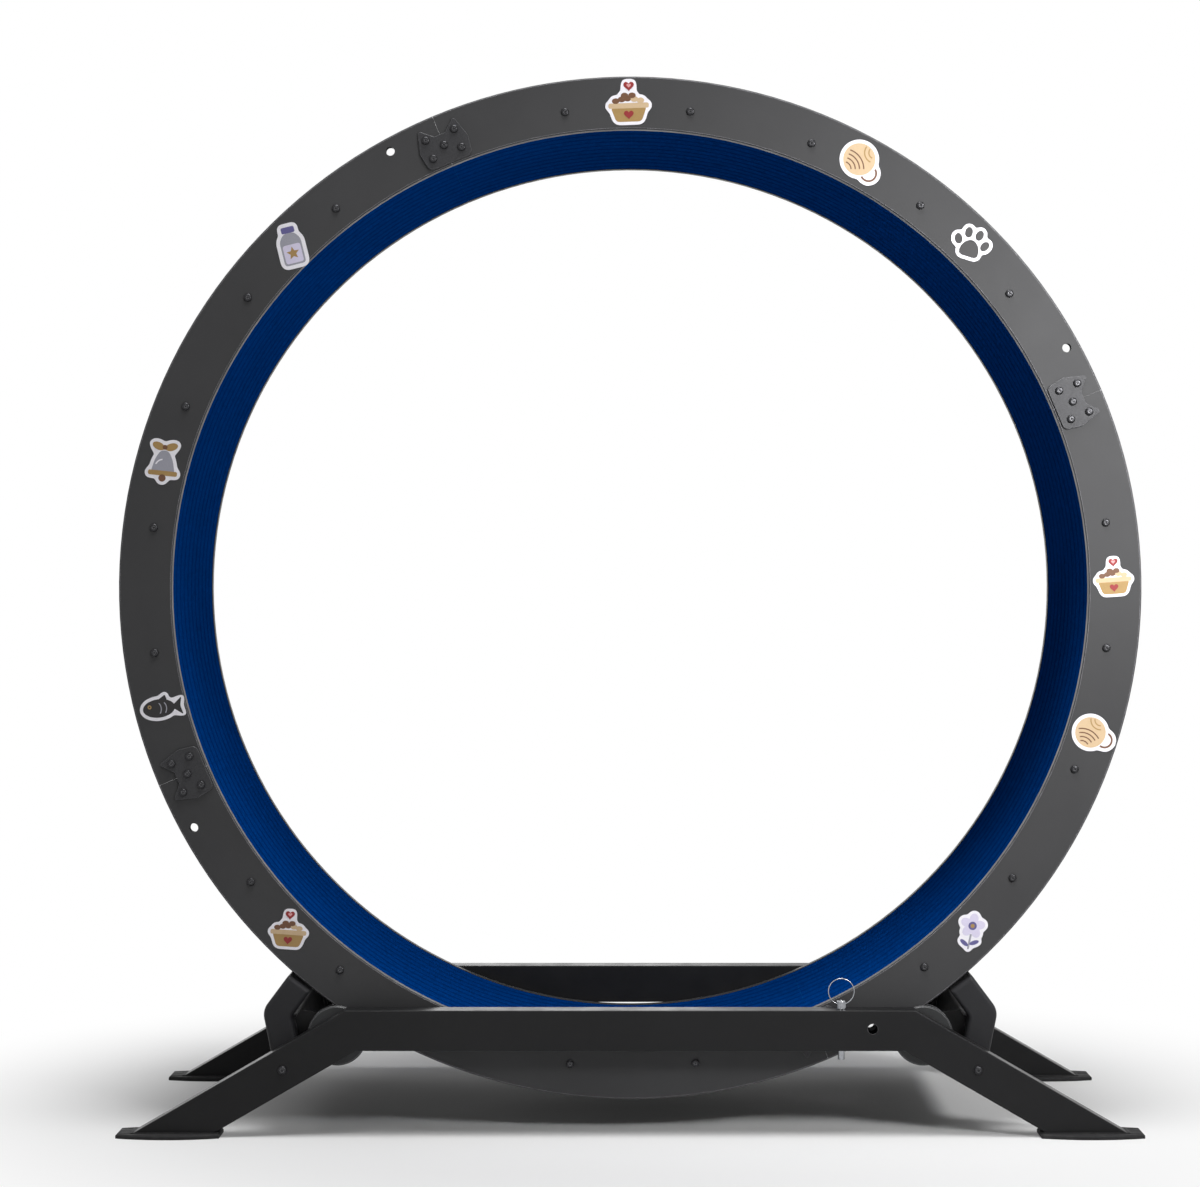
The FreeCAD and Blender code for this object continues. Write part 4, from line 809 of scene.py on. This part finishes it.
def pin_profile():
    """Points (radius, height) of the lock pin, in mm from its tip up to the dish in its head."""
    return [
        (0, PIN_TIP),
        (PIN_RADIUS - 1.0, PIN_TIP),
        (PIN_RADIUS - 0.4, PIN_TIP + 0.2),
        (PIN_RADIUS, PIN_TIP + 0.8),
        (PIN_RADIUS, -0.05),
        (PIN_RADIUS + 0.6, 0.02),
        (COLLAR_RADIUS - 0.1, 0.05),
        (COLLAR_RADIUS, 0.3),
        (COLLAR_RADIUS, KNURL_LOW - 0.2),
        (HEAD_RADIUS, KNURL_LOW),
        (HEAD_RADIUS, KNURL_HIGH),
        (COLLAR_RADIUS, KNURL_HIGH + 0.2),
        (COLLAR_RADIUS, HEAD_TOP - 0.7),
        (COLLAR_RADIUS - 0.25, HEAD_TOP - 0.2),
        (COLLAR_RADIUS - 0.7, HEAD_TOP),
        (DISH_RADIUS + 0.2, HEAD_TOP),
        (DISH_RADIUS, HEAD_TOP - 0.2),
        (0, HEAD_TOP - 0.25),
    ]


def make_drill():
    """A rod along X through the pin's eye."""
    mesh = bpy.data.meshes.new("drill")
    shape = bmesh.new()
    radius = EYE_RADIUS * MM
    bmesh.ops.create_cone(
        shape, cap_ends=True, segments=40, radius1=radius, radius2=radius, depth=DRILL_LENGTH * MM
    )
    for vert in shape.verts:
        x, y, z = vert.co
        vert.co = (PIN_X + z, PIN_Y + y, EYE_Z + x)
    bmesh.ops.recalc_face_normals(shape, faces=shape.faces)
    shape.to_mesh(mesh)
    shape.free()
    drill = bpy.data.objects.new("drill", mesh)
    bpy.context.scene.collection.objects.link(drill)
    return drill


def merge_doubles(mesh):
    """Joins the points that lie together, as a turned shape's do on its axis."""
    shape = bmesh.new()
    shape.from_mesh(mesh)
    bmesh.ops.remove_doubles(shape, verts=shape.verts, dist=1e-7)
    bmesh.ops.recalc_face_normals(shape, faces=shape.faces)
    shape.to_mesh(mesh)
    shape.free()


def add_lock_pin(material):
    """The lock pin with its knurled head, in the place of its plain solid."""
    verts, faces = [], []
    profile = pin_profile()
    for radius, height in profile:
        for step in range(PIN_STEPS):
            wave = abs(math.sin(math.pi * KNURL_RIBS * step / PIN_STEPS))
            reach = radius - KNURL_DEPTH * wave if radius == HEAD_RADIUS else radius
            x, y = polar(reach * MM, 360 * step / PIN_STEPS, PIN_X, PIN_Y)
            verts.append((x, y, BAR_TOP + height * MM))
    for level in range(len(profile) - 1):
        low = level * PIN_STEPS
        high = low + PIN_STEPS
        for step in range(PIN_STEPS):
            after = (step + 1) % PIN_STEPS
            faces.append((low + step, low + after, high + after, high + step))
    smooth = [True] * len(faces)
    piece = add_mesh("knurled_lock_pin", verts, faces, [material], "lock_pin", smooth)
    merge_doubles(piece.data)
    drill = make_drill()
    cut = piece.modifiers.new("eye", "BOOLEAN")
    cut.operation = "DIFFERENCE"
    cut.solver = "EXACT"
    cut.object = drill
    drilled = piece.evaluated_get(bpy.context.evaluated_depsgraph_get())
    mesh = bpy.data.meshes.new_from_object(drilled)
    piece.modifiers.clear()
    piece.data = mesh
    mesh.set_sharp_from_angle(angle=math.radians(38))
    bpy.data.objects.remove(drill)
    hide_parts("lock_pin")


# ---------------------------------------------------------------- dressing the nodes


def make_looks():
    """The material of every slot."""
    black = srgb(32, 32, 33)
    looks = {
        "ring": ring_material(),
        "joint_plate": plate_material(),
        "carpet": carpet_material(),
        "black_screw": screw_material(),
        "frame": frame_material(),
        "foot": rubber_material(),
        "roller": roller_material(),
    }
    looks["panel"] = moulded_material(
        "panel_black", black, roughness=0.5, grain=700, depth=0.12 * MM, specular=0.2
    )
    looks["tube"] = moulded_material(
        "tube_black", black, roughness=0.42, grain=500, depth=0.06 * MM, specular=0.25
    )
    looks["guard"] = moulded_material(
        "guard_satin_black",
        srgb(43, 43, 45),
        roughness=0.42,
        grain=800,
        depth=0.1 * MM,
        specular=0.14,
        mottle=0.1,
        # width and colour of the guard's painted edge highlight
        edge_highlight_look=(0.9 * MM, srgb(72, 72, 74)),
    )
    looks["zinc"] = metal_material(
        "zinc_plate", srgb(186, 188, 190), roughness=0.34, mottle=0.08, scale=160
    )
    looks["bearing"] = metal_material(
        "bearing_steel", srgb(196, 197, 200), roughness=0.22, mottle=0.05, scale=300
    )
    looks["chrome"] = metal_material(
        "chrome_plate", srgb(168, 170, 174), roughness=0.14, mottle=0.08, scale=120, depth=0.01 * MM
    )
    return looks


def dress_nodes(looks):
    """Gives every frame node the material of its slot."""
    for subpart in frame["record"]["subparts"]:
        node = frame["nodes"][subpart["node"]]
        for slot in node.material_slots:
            slot.material = looks[subpart["material_slot"]]


# ---------------------------------------------------------------- floor, light and background

FLOOR_HALF = 20
FLOOR_Z = -0.2 * MM
FLOOR_GREY = (0.82, 0.82, 0.82, 1)
WHITE = (1, 1, 1, 1)
SHADOW_LIFT = 0.015
WHITE_START = 0.35  # from under the wheel's middle
WHITE_FULL = 1.05
WORLD_LIGHT = 0.16
WORLD_SEEN = 1.0


def sees_background(tree):
    """1 for camera, glossy and transmission rays."""
    path = tree.nodes.new("ShaderNodeLightPath")
    total = path.outputs["Is Camera Ray"]
    for kind in ("Is Glossy Ray", "Is Transmission Ray"):
        add = tree.nodes.new("ShaderNodeMath")
        add.operation = "MAXIMUM"
        tree.links.new(total, add.inputs[0])
        tree.links.new(path.outputs[kind], add.inputs[1])
        total = add.outputs[0]
    return total


def floor_material():
    """Pale grey that keeps the object's shadow and turns into the white background farther out."""
    made = Surface("floor", roughness=0.9, specular=0.0)
    made.set("Base Color", FLOOR_GREY)
    made.set("Emission Color", WHITE)
    seen = sees_background(made.tree)
    made.feed("Emission Strength", made.math("MULTIPLY", seen, SHADOW_LIFT))
    distance = made.node("ShaderNodeVectorMath", operation="LENGTH")
    made.link(made.place, distance.inputs[0])
    away = made.node("ShaderNodeMapRange", interpolation_type="SMOOTHSTEP")
    made.link(distance.outputs["Value"], away.inputs["Value"])
    away.inputs["From Min"].default_value = WHITE_START
    away.inputs["From Max"].default_value = WHITE_FULL
    white = made.node("ShaderNodeEmission")
    blend = made.node("ShaderNodeMixShader")
    made.link(made.math("MULTIPLY", away.outputs["Result"], seen), blend.inputs[0])
    made.link(made.shader.outputs[0], blend.inputs[1])
    made.link(white.outputs[0], blend.inputs[2])
    made.link(blend.outputs[0], made.tree.nodes["Material Output"].inputs["Surface"])
    return made.material


def add_floor():
    mesh = bpy.data.meshes.new("floor")
    corners = [(x * FLOOR_HALF, y * FLOOR_HALF, FLOOR_Z) for x, y in ((-1, -1), (1, -1), (1, 1), (-1, 1))]
    mesh.from_pydata(corners, [], [(0, 1, 2, 3)])
    mesh.materials.append(floor_material())
    floor = bpy.data.objects.new("floor", mesh)
    bpy.context.scene.collection.objects.link(floor)


def add_world():
    world = bpy.data.worlds.new("studio")
    bpy.context.scene.world = world
    world.use_nodes = True
    tree = world.node_tree
    background = tree.nodes["Background"]
    background.inputs["Color"].default_value = WHITE
    strength = tree.nodes.new("ShaderNodeMapRange")
    strength.inputs["To Min"].default_value = WORLD_LIGHT
    strength.inputs["To Max"].default_value = WORLD_SEEN
    tree.links.new(sees_background(tree), strength.inputs["Value"])
    tree.links.new(strength.outputs["Result"], background.inputs["Strength"])


def add_softbox(name, place, target, wide, high, power, spread=180):
    data = bpy.data.lights.new(name, "AREA")
    data.shape = "RECTANGLE"
    data.size = wide
    data.size_y = high
    data.energy = power
    data.spread = math.radians(spread)
    lamp = bpy.data.objects.new(name, data)
    lamp.location = place
    lamp.rotation_euler = (Vector(target) - Vector(place)).to_track_quat("-Z", "Y").to_euler()
    bpy.context.scene.collection.objects.link(lamp)


def add_lights():
    """A narrow key on the rings' right side, a lamp above the front and a low one behind."""
    ring_right = (0.58, -0.17, 0.86)
    bar = (-0.1, -0.2, 0.15)
    add_softbox("key_right", (1.1, -1.5, 1.25), ring_right, wide=0.5, high=0.5, power=7.4, spread=70)
    add_softbox("top", (0.1, -0.7, 3.4), (0, 0, 0.1), wide=1.5, high=1.5, power=90)
    add_softbox("rear", (-0.6, 2.8, 0.8), bar, wide=1.6, high=0.8, power=6)


def main():
    add_camera()
    add_world()
    add_floor()
    add_lights()
    looks = make_looks()
    dress_nodes(looks)
    for number in range(1, SEGMENTS + 1):
        add_carpet(number, looks["carpet"])
    add_lock_pin(looks["chrome"])
    add_stickers()
    bpy.context.scene.view_settings.view_transform = "Standard"


main()
